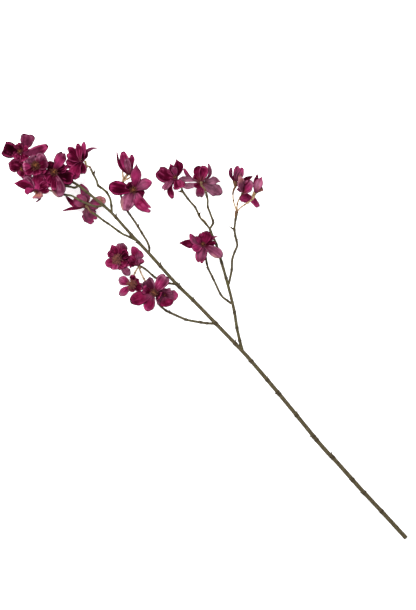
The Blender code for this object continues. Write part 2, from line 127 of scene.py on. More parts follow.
# Steps along the middle lines of stalks, knobs, cups and petals, and the sides of a bloom's base
STALK_STEPS = 24
KNOB_STEPS = 14
CUP_STEPS = 10
RIB_STEPS = 36
BASE_SIDES = 20

# Petals: the heights on the base where they start in turn, their width at the foot, where their tips
# begin to roll over, how far they turn to the viewer and where that turn is complete
PETAL_LEVELS = (0.3, 0.7)
FOOT_SHARE = 0.3
ROLL_START = 0.68
FACE_TURN = 0.7
TURN_REACH = 0.5

# Rows of points along a petal and across it, where they end round a blunt tip and a sharp one, in
# degrees, how wide a notch is, how close the dents are, how much thinner a petal is at its edge, how
# strong the cream of an edge is, and how far the throat reaches from a petal's foot
PETAL_ROWS = 25
PETAL_COLUMNS = 15
BLUNT_TIP = 72
SHARP_TIP = 84
NOTCH_WIDTH = 0.3
DENT_PACE = 110
EDGE_THINNING = 0.22
CREAM_SHARE = 0.8
THROAT_REACH = 0.36

# More than the petals of any bloom, so that no two petals draw the same chances
SEEDS_PER_BLOOM = 20

# How thick a bud and a stamen are from foot to tip, how much taller than round a heart's dome is, and
# the heights and radii of a bloom's base
BUD_PROFILE = ((0.0, 0.75), (0.2, 1.0), (0.45, 0.82), (0.6, 0.7), (0.85, 0.3), (1.0, 0.03))
STAMEN_PROFILE = ((0.0, 0.45), (0.5, 0.35), (0.72, 0.8), (0.88, 1.0), (1.0, 0.5))
DOME_RISE = 1.1
BASE_PROFILE = (
    (0.0, CUP_RADIUS * 0.8), (0.3, CUP_RADIUS), (BASE_HEIGHT * 0.55, BASE_RADIUS * 0.92),
    (BASE_HEIGHT * 0.85, BASE_RADIUS), (BASE_HEIGHT, BASE_RADIUS * 0.85), (BASE_HEIGHT, 1.0))

# The tones of the petals, the rim's tone for each tone at a tip, and the tones of a petal's under face
# and its upper one where the camera sees the other
# The near-black tone is painted shade, laid on petals where the hollows of cups and folds lie in shade.
TONES = ("black", "wine", "burgundy", "magenta", "rose", "dusk", "mauve", "lilac", "pink", "tan", "cream")
# Each rim tone also colours the painted highlights on a petal's streaks and the lighter band inside its edge.
RIMS = {
    "black": "burgundy", "wine": "magenta", "burgundy": "rose", "magenta": "rose", "dusk": "mauve",
    "mauve": "lilac", "lilac": "pink", "tan": "pink", "rose": "pink"}
UNDER_TONES = ("dusk", "mauve", "mauve")
UPPER_TONES = ("wine", "burgundy", "magenta")

# How a mesh keeps values of three or four parts
VALUE_KINDS = {3: ("FLOAT_VECTOR", "vector"), 4: ("FLOAT_COLOR", "color")}

Twig = namedtuple("Twig", "radius tip young points")
Bud = namedtuple("Bud", "twig along side length")
Stalks = namedtuple("Stalks", "twig blooms green brown")
Shoot = namedtuple("Shoot", "radius tip points brown", defaults=(0.4,))
Bloom = namedtuple("Bloom", "place faces heart petals")

# A petal's tip lies right, up and above its bloom's place. It curls back by an angle, or in below 0.
# Its tones run from its foot to its tip. Cream runs down one edge of some, and a thin one sways.
# The tones are the colours that a petal shows, so on petals that lie in shade the darker tones also paint
# that shade.
Petal = namedtuple("Petal", "right up above width curl form tones cream sway", defaults=(0, 0.0))

# A petal's outline and hollow: how far along it is widest, how blunt its tip is, how deep a notch it
# has, how hollow it is across, how sharply it folds along its midrib, how its edges wave, how far its
# tip rolls over, in degrees, how late it widens, and how far from its middle the notch lies
Form = namedtuple("Form", "belly blunt notch hollow fold wave roll neck split", defaults=(1.1, 0.0))
FORMS = {
    "round": Form(0.64, 2.1, 0.0, 0.24, 0.10, 0.09, 20),
    "cup": Form(0.58, 2.3, 0.0, 0.55, 0.0, 0.06, -20),
    "bowl": Form(0.52, 2.1, 0.0, 0.60, 0.0, 0.05, -30, 0.9),
    "broad": Form(0.52, 2.2, 0.0, 0.24, 0.10, 0.09, 15, 0.9),
    "point": Form(0.55, 1.35, 0.0, 0.20, 0.24, 0.07, 15),
    "notch": Form(0.46, 2.6, 0.15, 0.18, 0.22, 0.09, 15, 0.8, 0.42),
    "ragged": Form(0.68, 3.0, 0.05, 0.20, 0.10, 0.20, 10),
    "square": Form(0.70, 3.3, 0.03, 0.22, 0.08, 0.12, 10),
    "drop": Form(0.74, 2.2, 0.0, 0.30, 0.12, 0.06, 10, 1.9),
    "tail": Form(0.42, 1.25, 0.0, 0.45, 0.30, 0.04, 30),
    "strap": Form(0.36, 1.6, 0.0, 0.20, 0.15, 0.06, 15, 0.8),
    "spoon": Form(0.74, 2.3, 0.0, 0.25, 0.10, 0.06, 10, 1.2),
    "flag": Form(0.80, 4.2, 0.02, 0.12, 0.06, 0.10, 0, 1.2),
    "saucer": Form(0.50, 2.2, 0.0, 0.30, 0.0, 0.04, -10, 0.35),
    "oval": Form(0.50, 1.9, 0.0, 0.22, 0.10, 0.08, 10, 0.8),
    "leaf": Form(0.56, 1.7, 0.0, 0.22, 0.18, 0.07, 15),
    "apron": Form(0.46, 2.6, 0.10, 0.18, 0.22, 0.09, 15, 0.4),
}

# The twigs: radius at the foot and at the tip, how green the foot and the tip are, and their corners
TWIGS = {
    "stem": Twig(3.95, 2.05, (0.2, 0.6), (
        (0, 0, 3.4), (49.3, 53.7, 6), (90.3, 97.6, 8), (147.3, 161.7, 11), (156.3, 170, 11.4),
        (180, 197.1, 12.8), (201.4, 223.7, 14), (258, 293, 17), (319.2, 364.8, 21), (382.2, 430.8, 25),
        (423.6, 473.4, 28), (460, 509, 31), (515, 570, 35), (551.4, 608.7, 38), (588.2, 649.8, 41),
        (607, 667, 43), (656, 706, 46), (680, 720, 48))),
    "right": Twig(2.8, 2.0, (0.5, 0.2), (
        (329, 378, 22), (334, 396, 23), (339.7, 421.9, 25), (344.5, 452.9, 28), (352, 486, 31),
        (361.5, 521.9, 34), (369.2, 548.7, 36), (381, 589, 39), (391, 612, 41), (394, 620, 42))),
    "a_tip": Twig(1.8, 1.5, (0.5, 0.4), (
        (656, 706, 46), (664, 702, 46), (673, 704, 45), (686, 706, 43), (701, 713, 42))),
    "a_low": Twig(1.8, 1.5, (0.5, 0.4), (
        (607, 667, 43), (620, 664, 44), (636, 669, 45), (652, 676, 45), (670, 686, 42),
        (684, 688, 40), (699, 692, 38))),
    "a_side": Twig(2.0, 1.5, (0.6, 0.4), (
        (590, 653, 41), (590.7, 666, 43), (593, 679.6, 45), (599.6, 692.5, 46), (607.4, 699.4, 47),
        (617, 706, 48), (619.8, 715.7, 48), (626.8, 729.6, 49), (632, 740, 49))),
    "a_under": Twig(1.9, 1.5, (0.5, 0.5), (
        (542, 597, 37), (553, 603, 36), (567, 609, 35), (576.7, 615.3, 35), (595.7, 629.3, 36),
        (606, 636, 38), (619, 646, 40), (629, 652, 41))),
    "b": Twig(1.9, 1.5, (0.2, 0.2), (
        (515, 570, 35), (515, 583, 36), (519, 594, 37), (530, 612, 38), (543, 633, 38),
        (557, 653, 38), (568, 673, 38), (572, 689, 40), (570, 702, 42))),
    "c_left": Twig(1.9, 1.5, (0.2, 0.4), (
        (394, 620, 42), (401.9, 630, 43), (412.5, 641.3, 44), (423.5, 663.7, 46), (431, 671.7, 46.5),
        (438, 680.4, 47), (448.6, 695, 48), (450, 701, 48))),
    "c_right": Twig(1.9, 1.5, (0.3, 0.3), (
        (394, 620, 42), (387, 632, 43), (392, 648, 44), (398, 664, 45), (398, 677, 46),
        (400, 686, 47), (402, 694, 47))),
    "d": Twig(2.0, 1.9, (0.2, 0.0), (
        (356, 509, 33), (350, 538, 34), (349, 559, 35), (344, 574, 36), (338.8, 586.8, 37),
        (342.7, 604.9, 38), (344.7, 619, 39), (342.4, 639, 40), (340, 650, 41))),
    "e": Twig(1.9, 1.5, (0.3, 0.3), (
        (351, 470, 30), (358.5, 476.2, 30), (367.4, 482.6, 30), (373, 490, 30), (381, 507, 31),
        (389, 524, 32), (397, 540, 34), (400, 551, 36), (402, 563, 38))),
    "f": Twig(1.9, 1.5, (0.4, 0.4), (
        (460, 509, 31), (476, 511, 32), (491, 516, 34), (504, 523, 36), (521, 538, 39), (527, 542, 40))),
    "g": Twig(2.2, 1.6, (0.3, 0.4), (
        (382, 430, 25), (400, 431, 26), (426, 435, 28), (442, 438.4, 29), (454.7, 443.7, 30),
        (481, 456, 33), (491, 464, 35), (495, 468, 36))),
}

# Buds and old leaf scars: how far along a twig, on which side (90 left, -90 right), and how long
BUDS = (
    Bud("stem", 124, 90, 8), Bud("stem", 159, 75, 6), Bud("stem", 223, -90, 8), Bud("stem", 276, 95, 8),
    Bud("stem", 331, -85, 8), Bud("stem", 386, 90, 8), Bud("stem", 423, -80, 6), Bud("stem", 472, 100, 6),
    Bud("stem", 520, -90, 8), Bud("stem", 575, 150, 6), Bud("stem", 641, -90, 6), Bud("stem", 680, -80, 8),
    Bud("stem", 736, -90, 8), Bud("stem", 800, 100, 6), Bud("stem", 868, -90, 8), Bud("stem", 945, 20, 6),
    Bud("right", 45, -90, 4), Bud("right", 180, 90, 3), Bud("a_side", 88, -70, 10),
    Bud("a_side", 58, -90, 3), Bud("b", 60, -90, 5), Bud("b", 90, 90, 3), Bud("c_left", 92, 80, 9),
    Bud("c_left", 34, -60, 8), Bud("c_right", 18, -90, 3), Bud("d", 90, -90, 4), Bud("d", 112, 80, 13),
    Bud("e", 86, 90, 4), Bud("e", 62, 90, 3), Bud("f", 52, -80, 3), Bud("g", 30, -90, 4),
    Bud("g", 60, 90, 3), Bud("g", 96, -90, 4), Bud("a_under", 66, 90, 3),
)

# The twig under each set of stalks, the blooms that it carries, and how green and how brown its stalks are
STALKS = {
    "a_stem": Stalks("stem", ("a3",), 0.8, 0.4),
    "a_tip": Stalks("a_tip", ("a1", "a2", "a7"), 0.8, 0.0),
    "a_low": Stalks("a_low", ("a5",), 0.8, 0.4),
    "a_side": Stalks("a_side", ("a4",), 0.6, 0.25),
    "a_under": Stalks("a_under", ("a6",), 0.8, 0.7),
    "b": Stalks("b", ("b1", "b2"), 0.0, 0.0),
    "c_left": Stalks("c_left", ("c1",), 0.7, 0.0),
    "c_right": Stalks("c_right", ("c2",), 0.9, 0.7),
    "d": Stalks("d", ("d1", "d2", "d3"), 0.15, 0.0),
    "e": Stalks("e", ("e1",), 0.8, 0.0),
    "f": Stalks("f", ("f1", "f2", "g1", "g2"), 0.1, 0.0),
    "g": Stalks("g", ("g3",), 0.6, 0.0),
}

# How far the stalk of a bloom bows to the left between its ends, in millimetres
STALK_BOWS = {"b1": 7, "d1": 9, "d2": 3, "d3": -3, "g1": 2, "g2": 3}

# Bracts and bare threads beside the stalks of a set: radius at the foot and at the tip, places along
# them, and how brown they are
SHOOTS = {
    "b": (
        Shoot(2.2, 1.4, ((568, 708, 44), (567, 720, 48), (568, 734, 50), (566, 742, 50))),
        Shoot(2.8, 3.0, ((569, 711, 44), (566, 717, 45), (561, 725, 47), (554, 733, 48)), 0.8),
        Shoot(1.7, 0.9, ((563, 716, 45), (561, 726, 50), (562, 738, 54)), 0.2),
        Shoot(0.3, 0.2, ((568, 722, 47), (572, 728, 48), (576, 722, 48)), 0.0)),
    "a_side": (
        Shoot(1.5, 2.6, ((639, 742, 50), (641, 748, 53), (643, 755, 56)), 0.4),),
    "d": (
        Shoot(2.4, 1.8, ((342, 704, 49), (345, 700, 48), (347, 694, 47), (348, 688, 46)), 0.9),
        Shoot(4.8, 3.2, ((344, 716, 50), (343, 710, 50), (342, 704, 49)), 1.4),
        Shoot(2.5, 2.9, ((342, 640, 40), (342, 649, 41), (341, 656, 41)), 0.9),
        Shoot(1.8, 3.4, ((332, 682, 47), (330, 688, 48), (327, 693, 50)), 1.2),
        Shoot(0.3, 0.2, ((347, 696, 48), (352, 700, 50), (357, 690, 50), (353, 682, 50)), 0.0),
        Shoot(1.8, 4.2, ((309, 683, 54), (307, 688, 57), (303, 693, 60)), 0.3)),
    "c_left": (
        Shoot(0.9, 0.5, ((443, 690, 48), (448, 693, 50), (453, 697, 52)), 0.3),
        Shoot(0.8, 0.5, ((398, 624, 43), (402, 634, 46), (410, 641, 48), (414, 645, 47)), 0.3)),
}

# How far the heart of a bloom has faded
FADED_HEARTS = {"f1": 0.65, "g1": 0.55, "g2": 0.2}

# A bloom: its place; where it faces, as a heading and a turn away from straight up; the size of its
# heart; and its petals
BLOOMS = {
    "a1": Bloom((771, 773, 52), (150, 30), 0.8, (
        Petal(-34, 9, 14, 33, -50, "bowl", "black black wine"),
        Petal(14, 36, 4, 30, 0, "flag", "dusk dusk dusk", 0, -0.10),
        Petal(54, 13, 14, 22, 30, "round", "dusk dusk burgundy", 0, -0.16),
        Petal(-8, 16, 18, 20, -20, "round", "wine wine burgundy"),
        Petal(10, -17, 10, 24, 10, "round", "wine wine burgundy"),
        Petal(-13, -13, 5, 24, 10, "round", "wine wine burgundy"),
        Petal(14, 10, 14, 13, 0, "round", "wine burgundy burgundy"))),
    "a2": Bloom((742, 745, 64), (100, 12), 1.2, (
        Petal(-25, -2, 12, 23, -30, "round", "dusk magenta rose"),
        Petal(-11, 18, 16, 24, -30, "broad", "dusk mauve mauve"),
        Petal(17, 24, 12, 24, 10, "round", "burgundy dusk mauve"),
        Petal(26, 6, 13, 26, 20, "broad", "wine wine dusk"),
        Petal(5, -18, 12, 22, 0, "round", "black wine burgundy"),
        Petal(-22, -15, 8, 22, 0, "broad", "black wine burgundy"),
        Petal(21, -13, 7, 18, 10, "round", "black wine burgundy"))),
    "a3": Bloom((706, 732, 60), (60, 15), 1.0, (
        Petal(-10, 22, 8, 18, 20, "round", "wine black black"),
        Petal(-14, 5, 0, 13, 10, "round", "black black wine"),
        Petal(-17, -18, -2, 14, 10, "round", "black wine wine"),
        Petal(20, 40, 18, 23, 10, "ragged", "wine magenta dusk"),
        Petal(40, -10, 18, 32, -40, "bowl", "black black wine"),
        Petal(14, -49, 2, 29, 40, "round", "wine dusk mauve", -1),
        Petal(1, -37, 15, 14, 0, "round", "black wine burgundy"),
        Petal(-8, -24, 8, 20, 10, "round", "black wine wine"),
        Petal(-20, -8, 0, 20, 10, "round", "black wine burgundy"),
        Petal(-11, -29, -6, 14, 10, "round", "black wine burgundy"),
        Petal(26, 12, 5, 22, 10, "round", "black black wine"))),
    "a4": Bloom((650, 753, 52), (95, 70), 0.5, (
        Petal(-28, 29, 4, 17, 20, "round", "wine wine wine"),
        Petal(-8, 37, 18, 15, 10, "round", "dusk burgundy burgundy"),
        Petal(5, 41, 4, 11, -10, "round", "burgundy magenta magenta"),
        Petal(33, 28, -8, 9, 50, "strap", "wine mauve dusk", 0, 0.30),
        Petal(12, 26, -5, 13, 20, "point", "black black wine"),
        Petal(2, 19, 2, 12, 10, "round", "black wine wine"),
        Petal(-30, 12, 10, 18, 30, "round", "wine wine burgundy"),
        Petal(3, -23, 0, 17, 50, "round", "black wine burgundy"),
        Petal(-18, -35, 12, 28, 50, "ragged", "black burgundy magenta"),
        Petal(-31, -3, 6, 20, 20, "round", "wine wine burgundy"),
        Petal(-32, -12, 0, 13, 10, "round", "wine burgundy magenta"))),
    "a5": Bloom((741, 697, 46), (-100, 40), 0.65, (
        Petal(-45, 14, 8, 20, 20, "point", "dusk wine wine", 0, -0.16),
        Petal(-23, 0, 8, 18, 10, "round", "wine magenta magenta"),
        Petal(-23, 28, 9, 20, 20, "round", "dusk dusk mauve"),
        Petal(7, 34, 10, 28, 0, "broad", "magenta burgundy burgundy"),
        Petal(24, 16, 8, 20, 10, "round", "wine wine burgundy"),
        Petal(26, 1, 2, 14, 20, "round", "wine wine burgundy"),
        Petal(-2, -24, -4, 6, 50, "strap", "wine wine mauve", 0, 0.44),
        Petal(1, -17, 14, 22, -10, "saucer", "dusk tan mauve"))),
    "a6": Bloom((641, 665, 34), (150, 150), 0.8, (
        Petal(-12, 45, -10, 18, 20, "oval", "dusk mauve magenta", 0, 0.13),
        Petal(28, 5, -8, 22, 20, "broad", "mauve mauve magenta"),
        Petal(39, 13, -18, 23, 20, "round", "mauve tan tan"),
        Petal(-22, 20, -6, 29, 10, "apron", "mauve mauve burgundy"),
        Petal(-42, 22, -12, 13, 30, "strap", "wine burgundy wine", 0, -0.15),
        Petal(-49, -10, -8, 8, 30, "strap", "burgundy wine wine", 0, 0.0),
        Petal(17, -28, -30, 31, 10, "apron", "lilac mauve magenta", 0, 0.12),
        Petal(-1, -15, -12, 15, 10, "round", "mauve mauve magenta"))),
    "a7": Bloom((765, 741, 30), (195, 60), 0.8, (
        Petal(-31, 4, 2, 29, -20, "bowl", "wine wine burgundy"),
        Petal(-9, -16, -8, 20, 10, "round", "wine wine burgundy"),
        Petal(-4, -20, -30, 20, 10, "round", "wine wine burgundy"),
        Petal(-12, 20, -4, 18, 10, "round", "wine burgundy burgundy"),
        Petal(14, -14, -30, 18, 20, "round", "wine wine burgundy"))),
    "b1": Bloom((553, 729, 52), (105, 80), 0.45, (
        Petal(-27, 46, 2, 8, -15, "strap", "wine wine wine", 0, 0.25),
        Petal(-15, 45, 15, 19, -10, "round", "dusk magenta burgundy", 0, -0.03),
        Petal(3, 39, 12, 11, 10, "drop", "wine burgundy magenta", 0, 0.12),
        Petal(-8, 31, 20, 14, 0, "round", "dusk mauve mauve"),
        Petal(0, 34, -12, 12, 10, "round", "wine burgundy burgundy"))),
    "b2": Bloom((546, 696, 60), (120, 12), 1.0, (
        Petal(-50, 7, 8, 30, 25, "round", "wine wine wine"),
        Petal(37, 16, 12, 24, 15, "leaf", "dusk mauve magenta", 0, 0.08),
        Petal(6, 53, 20, 22, 10, "point", "wine magenta dusk", 0, -0.03),
        Petal(-16, -41, 4, 30, 30, "broad", "dusk mauve mauve", -1, -0.06),
        Petal(35, -40, 4, 24, 30, "notch", "mauve burgundy magenta", 0, -0.14),
        Petal(21, -8, -4, 19, 30, "square", "black wine wine"),
        Petal(-13, 13, 16, 20, -20, "round", "black wine burgundy"))),
    "c1": Bloom((462, 720, 58), (110, 30), 0.7, (
        Petal(-34, 17, 12, 31, -50, "bowl", "wine wine burgundy"),
        Petal(-11, 30, 12, 15, 0, "point", "wine wine burgundy"),
        Petal(1, 39, 14, 20, -10, "point", "wine wine wine", 0, -0.12),
        Petal(-4, 24, 20, 13, -10, "round", "dusk magenta mauve"),
        Petal(-25, -22, -6, 14, 30, "ragged", "dusk mauve mauve"),
        Petal(-6, -40, -16, 14, 20, "drop", "wine wine burgundy", 0, -0.17),
        Petal(10, -20, 12, 27, 40, "square", "wine wine burgundy"))),
    "c2": Bloom((411, 713, 38), (85, 130), 0.7, (
        Petal(-7, 33, -4, 21, -20, "round", "wine burgundy black"),
        Petal(-15, 15, -4, 16, 0, "round", "wine wine burgundy"),
        Petal(-12, -11, -8, 14, 10, "round", "wine wine wine"),
        Petal(6, 33, 2, 20, -20, "cup", "dusk burgundy burgundy"),
        Petal(14, 38, -10, 8, 20, "spoon", "mauve mauve mauve", 0, 0.30),
        Petal(39, 1, -16, 18, 40, "point", "mauve lilac mauve"),
        Petal(39, -25, -38, 26, 20, "round", "mauve lilac mauve"),
        Petal(-3, -29, -38, 18, 20, "square", "burgundy magenta mauve"),
        Petal(-45, 6, -8, 12, 20, "spoon", "wine lilac lilac", 0, 0.03),
        Petal(-35, 28, -12, 9, -20, "spoon", "wine mauve magenta", 0, -0.21),
        Petal(-38, -8, -14, 13, 20, "spoon", "wine lilac lilac", 0, -0.14))),
    "d1": Bloom((342, 714, 50), (95, 82), 0.45, (
        Petal(-9, 28, 2, 9, -20, "spoon", "dusk dusk dusk", 0, 0.30),
        Petal(3, 32, 14, 17, -10, "oval", "mauve mauve magenta"),
        Petal(14, 28, 9, 16, 0, "saucer", "mauve mauve magenta", 0, -0.24),
        Petal(3, 30, -12, 12, 10, "round", "wine burgundy burgundy"),
        Petal(-3, 14, 10, 11, 0, "round", "dusk wine wine"))),
    "d2": Bloom((325, 692, 50), (50, 60), 0.5, (
        Petal(-10, 34, 24, 17, 10, "broad", "mauve mauve tan", 0, 0.15),
        Petal(18, 34, 26, 14, -50, "tail", "wine wine wine", 0, -0.20),
        Petal(17, 21, 16, 26, -10, "saucer", "burgundy magenta mauve"),
        Petal(2, -21, -10, 31, 50, "apron", "burgundy magenta magenta", 0, -0.12),
        Petal(28, -29, -12, 14, 30, "square", "burgundy magenta magenta"),
        Petal(-9, 14, 18, 15, -10, "cup", "burgundy mauve magenta"))),
    "d3": Bloom((302, 692, 61), (68, 80), 0.0, (
        Petal(3, 37, 2, 10, -10, "leaf", "dusk wine wine"),
        Petal(12, 32, 10, 17, -20, "point", "dusk lilac magenta"),
        Petal(8, 26, -12, 14, -10, "round", "mauve mauve magenta"),
        Petal(12, 12, 6, 13, -10, "round", "tan tan dusk"))),
    "e1": Bloom((407, 586, 56), (100, 30), 0.75, (
        Petal(-6, 25, 10, 13, -20, "round", "wine burgundy burgundy"),
        Petal(9, 29, 16, 22, -10, "round", "burgundy burgundy wine"),
        Petal(-27, 24, 12, 15, 20, "leaf", "magenta mauve magenta", 0, 0.14),
        Petal(-15, 19, 20, 10, 0, "leaf", "burgundy magenta burgundy"),
        Petal(-49, 5, 4, 18, 20, "point", "magenta wine wine"),
        Petal(-21, -9, 14, 19, 20, "round", "mauve magenta magenta"),
        Petal(-7, -35, 2, 24, 30, "apron", "dusk mauve burgundy"),
        Petal(38, -23, 8, 22, 30, "round", "wine mauve mauve", -1),
        Petal(31, 19, 2, 9, 20, "tail", "wine burgundy mauve", 0, 0.08),
        Petal(26, 5, 5, 15, 20, "point", "black wine wine"))),
    "f1": Bloom((576, 558, 50), (165, 35), 1.3, (
        Petal(-21, 16, 8, 18, -10, "round", "black wine burgundy"),
        Petal(-14, 31, 8, 19, 0, "point", "wine burgundy burgundy"),
        Petal(4, 33, 16, 24, -30, "cup", "black burgundy mauve"),
        Petal(19, 16, 12, 22, 0, "round", "black black wine"),
        Petal(-27, -9, 4, 21, -30, "broad", "wine burgundy magenta"),
        Petal(-13, -20, 0, 21, 20, "round", "burgundy magenta rose"),
        Petal(13, -15, 6, 27, 20, "round", "wine wine burgundy"),
        Petal(22, -31, -4, 17, 30, "drop", "mauve mauve mauve"),
        Petal(21, -12, 2, 14, 10, "round", "wine burgundy magenta"),
        Petal(20, -3, 2, 18, 10, "round", "black wine wine"))),
    "f2": Bloom((536, 546, 50), (110, 80), 0.45, (
        Petal(-11, 39, 6, 19, 0, "round", "wine burgundy magenta"),
        Petal(2, 31, 12, 18, 10, "round", "burgundy mauve magenta"),
        Petal(2, 15, 10, 20, 20, "saucer", "wine magenta mauve"),
        Petal(-19, 20, 6, 22, 20, "saucer", "wine burgundy magenta"),
        Petal(-20, 5, 8, 17, 20, "round", "black wine wine"))),
    "g1": Bloom((550, 508, 50), (100, 15), 1.25, (
        Petal(-26, 12, 4, 20, 10, "round", "wine magenta mauve"),
        Petal(3, 20, 8, 13, -10, "round", "wine wine burgundy"),
        Petal(-24, -22, 4, 17, 20, "round", "burgundy magenta mauve"),
        Petal(15, 11, 6, 17, 0, "point", "wine burgundy wine"),
        Petal(22, -8, 8, 20, -10, "round", "wine wine burgundy"),
        Petal(2, -15, 4, 13, 10, "round", "wine wine magenta"),
        Petal(-16, 14, 5, 9, 10, "round", "burgundy magenta magenta"))),
    "g2": Bloom((505, 491, 60), (120, 10), 1.0, (
        Petal(-17, 25, 19, 29, -30, "cup", "wine dusk mauve"),
        Petal(24, 35, 14, 27, 10, "square", "wine magenta mauve"),
        Petal(-15, -36, 6, 23, 20, "round", "mauve burgundy magenta"),
        Petal(-48, -17, 8, 28, 20, "round", "mauve burgundy wine"),
        Petal(-23, 9, 16, 20, -20, "round", "wine wine magenta"),
        Petal(13, -7, 10, 21, -10, "round", "black black burgundy"))),
    "g3": Bloom((487, 488, 50), (-20, 35), 0.5, (
        Petal(30, -2, 0, 22, 20, "round", "wine mauve magenta"),
        Petal(12, -23, 6, 30, 10, "broad", "mauve burgundy wine"),
        Petal(5, 13, 6, 19, 10, "round", "burgundy mauve magenta"),
        Petal(-12, -17, 0, 20, 20, "round", "dusk mauve mauve"),
        Petal(17, 6, 12, 15, -20, "cup", "burgundy mauve mauve"),
        Petal(-13, 5, 8, 26, 20, "round", "black black wine"))),
}


class Wire:
    """A socket of a node. Sums and products of wires and numbers add Math nodes."""

    def __init__(self, graph, socket):
        self.graph = graph
        self.socket = socket

    def other(self, name):
        """Another output of the same node."""
        return Wire(self.graph, self.socket.node.outputs[name])

    def math(self, operation, first, second):
        return self.graph.node("ShaderNodeMath", {0: first, 1: second}, operation=operation)

    def __add__(self, value):
        return self.math("ADD", self, value)

    def __radd__(self, value):
        return self.math("ADD", value, self)

    def __sub__(self, value):
        return self.math("SUBTRACT", self, value)

    def __rsub__(self, value):
        return self.math("SUBTRACT", value, self)

    def __mul__(self, value):
        return self.math("MULTIPLY", self, value)

    def __rmul__(self, value):
        return self.math("MULTIPLY", value, self)

    def __abs__(self):
        return self.math("ABSOLUTE", self, 0.0)

    def highest(self, value):
        return self.math("MAXIMUM", self, value)

    def to_and_fro(self):
        """Runs between 0 and 1 and back as the value grows."""
        return self.math("PINGPONG", self, 1.0)

    def step(self, low, high):
        """Rises smoothly from 0 at the low value to 1 at the high one."""
        return self.graph.node(
            "ShaderNodeMapRange", {"Value": self, "From Min": low, "From Max": high},
            interpolation_type="SMOOTHSTEP")


class Graph:
    """A node tree that is being built."""

    def __init__(self, tree):
        self.tree = tree
        tree.nodes.clear()

    def node(self, kind, sockets=None, output=0, points=(), **settings):
        """Adds a node: its settings first, then the values and links of its sockets."""
        made = self.tree.nodes.new(kind)
        for name, value in settings.items():
            setattr(made, name, value)
        if points:
            curve = made.mapping.curves[0].points
            while len(curve) < len(points):
                curve.new(0.5, 0.5)
            for knot, place in zip(curve, points):
                knot.location = place
            made.mapping.update()
        for key, value in (sockets or {}).items():
            if isinstance(value, Wire):
                self.tree.links.new(value.socket, made.inputs[key])
            else:
                made.inputs[key].default_value = value
        return Wire(self, made.outputs[output])

    def mix(self, factor, first, second):
        """Mixes two colours. A plain colour is three numbers."""
        tones = [tone if isinstance(tone, Wire) else (*tone, 1.0) for tone in (first, second)]
        return self.node("ShaderNodeMix", {0: factor, 6: tones[0], 7: tones[1]}, 2, data_type="RGBA")

    def scaled(self, vector, share):
        """A colour or a direction at a share of its strength."""
        return self.node("ShaderNodeVectorMath", {0: vector, "Scale": share}, operation="SCALE")

    def combined(self, x, y, z=0.0):
        return self.node("ShaderNodeCombineXYZ", {0: x, 1: y, 2: z})

    def place(self):
        """The place in the frame, in a material."""
        return self.node("ShaderNodeTexCoord", output="Object")

    def noise(self, place, scale, detail=3.0):
        return self.node("ShaderNodeTexNoise", {"Vector": place, "Scale": scale, "Detail": detail})

    def attribute(self, name, output="Fac"):
        """What each point of a piece carries, in a material."""
        return self.node("ShaderNodeAttribute", output=output, attribute_name=name)

    def named(self, name, kind="FLOAT"):
        """What each point of a mesh carries, in a geometry tree."""
        return self.node("GeometryNodeInputNamedAttribute", {"Name": name}, data_type=kind)

    def way(self):
        """How far along its line a point lies, from 0 to 1."""
        return self.node("GeometryNodeSplineParameter")

    def stored(self, shape, name, value):
        """A shape whose points carry a value under a name."""
        return self.node(
            "GeometryNodeStoreNamedAttribute", {0: shape, "Name": name, "Value": value},
            data_type="FLOAT", domain="POINT")

    def circle(self, sides):
        return self.node(
            "GeometryNodeCurvePrimitiveCircle", {"Resolution": sides, "Radius": 1.0}, mode="RADIUS")

    def swept(self, line, circle, girth):
        """A closed rod: a circle swept along a line, as thick as the girth says."""
        return self.node(
            "GeometryNodeCurveToMesh",
            {"Curve": line, "Profile Curve": circle, "Scale": girth, "Fill Caps": True})

    def profile(self, points):
        """A thickness that follows a drawn curve from the foot of a line to its tip."""
        return self.node("ShaderNodeFloatCurve", {"Value": self.way()}, points=points)

    def scattered(self, points, shape, turn, size):
        """A shape at each point, turned and sized."""
        return self.node(
            "GeometryNodeInstanceOnPoints",
            {"Points": points, "Instance": shape, "Rotation": turn, "Scale": size})


def new_finish(name, **constants):
    """A Principled material with constants on its own sockets, and its graph and shader."""
    material = bpy.data.materials.new(name)
    material.use_nodes = True
    graph = Graph(material.node_tree)
    shader = graph.tree.nodes.new("ShaderNodeBsdfPrincipled")
    output = graph.tree.nodes.new("ShaderNodeOutputMaterial")
    graph.tree.links.new(shader.outputs[0], output.inputs[0])
    for socket, value in constants.items():
        shader.inputs[socket.replace("_", " ")].default_value = value
    return material, graph, shader


def feed(graph, shader, bump=(), **wires):
    """Links wires to the shader's sockets. A bump is a strength, a depth in metres and a height."""
    if bump:
        wires["Normal"] = graph.node("ShaderNodeBump", dict(zip(("Strength", "Distance", "Height"), bump)))
    for socket, wire in wires.items():
        graph.tree.links.new(wire.socket, shader.inputs[socket.replace("_", " ")])


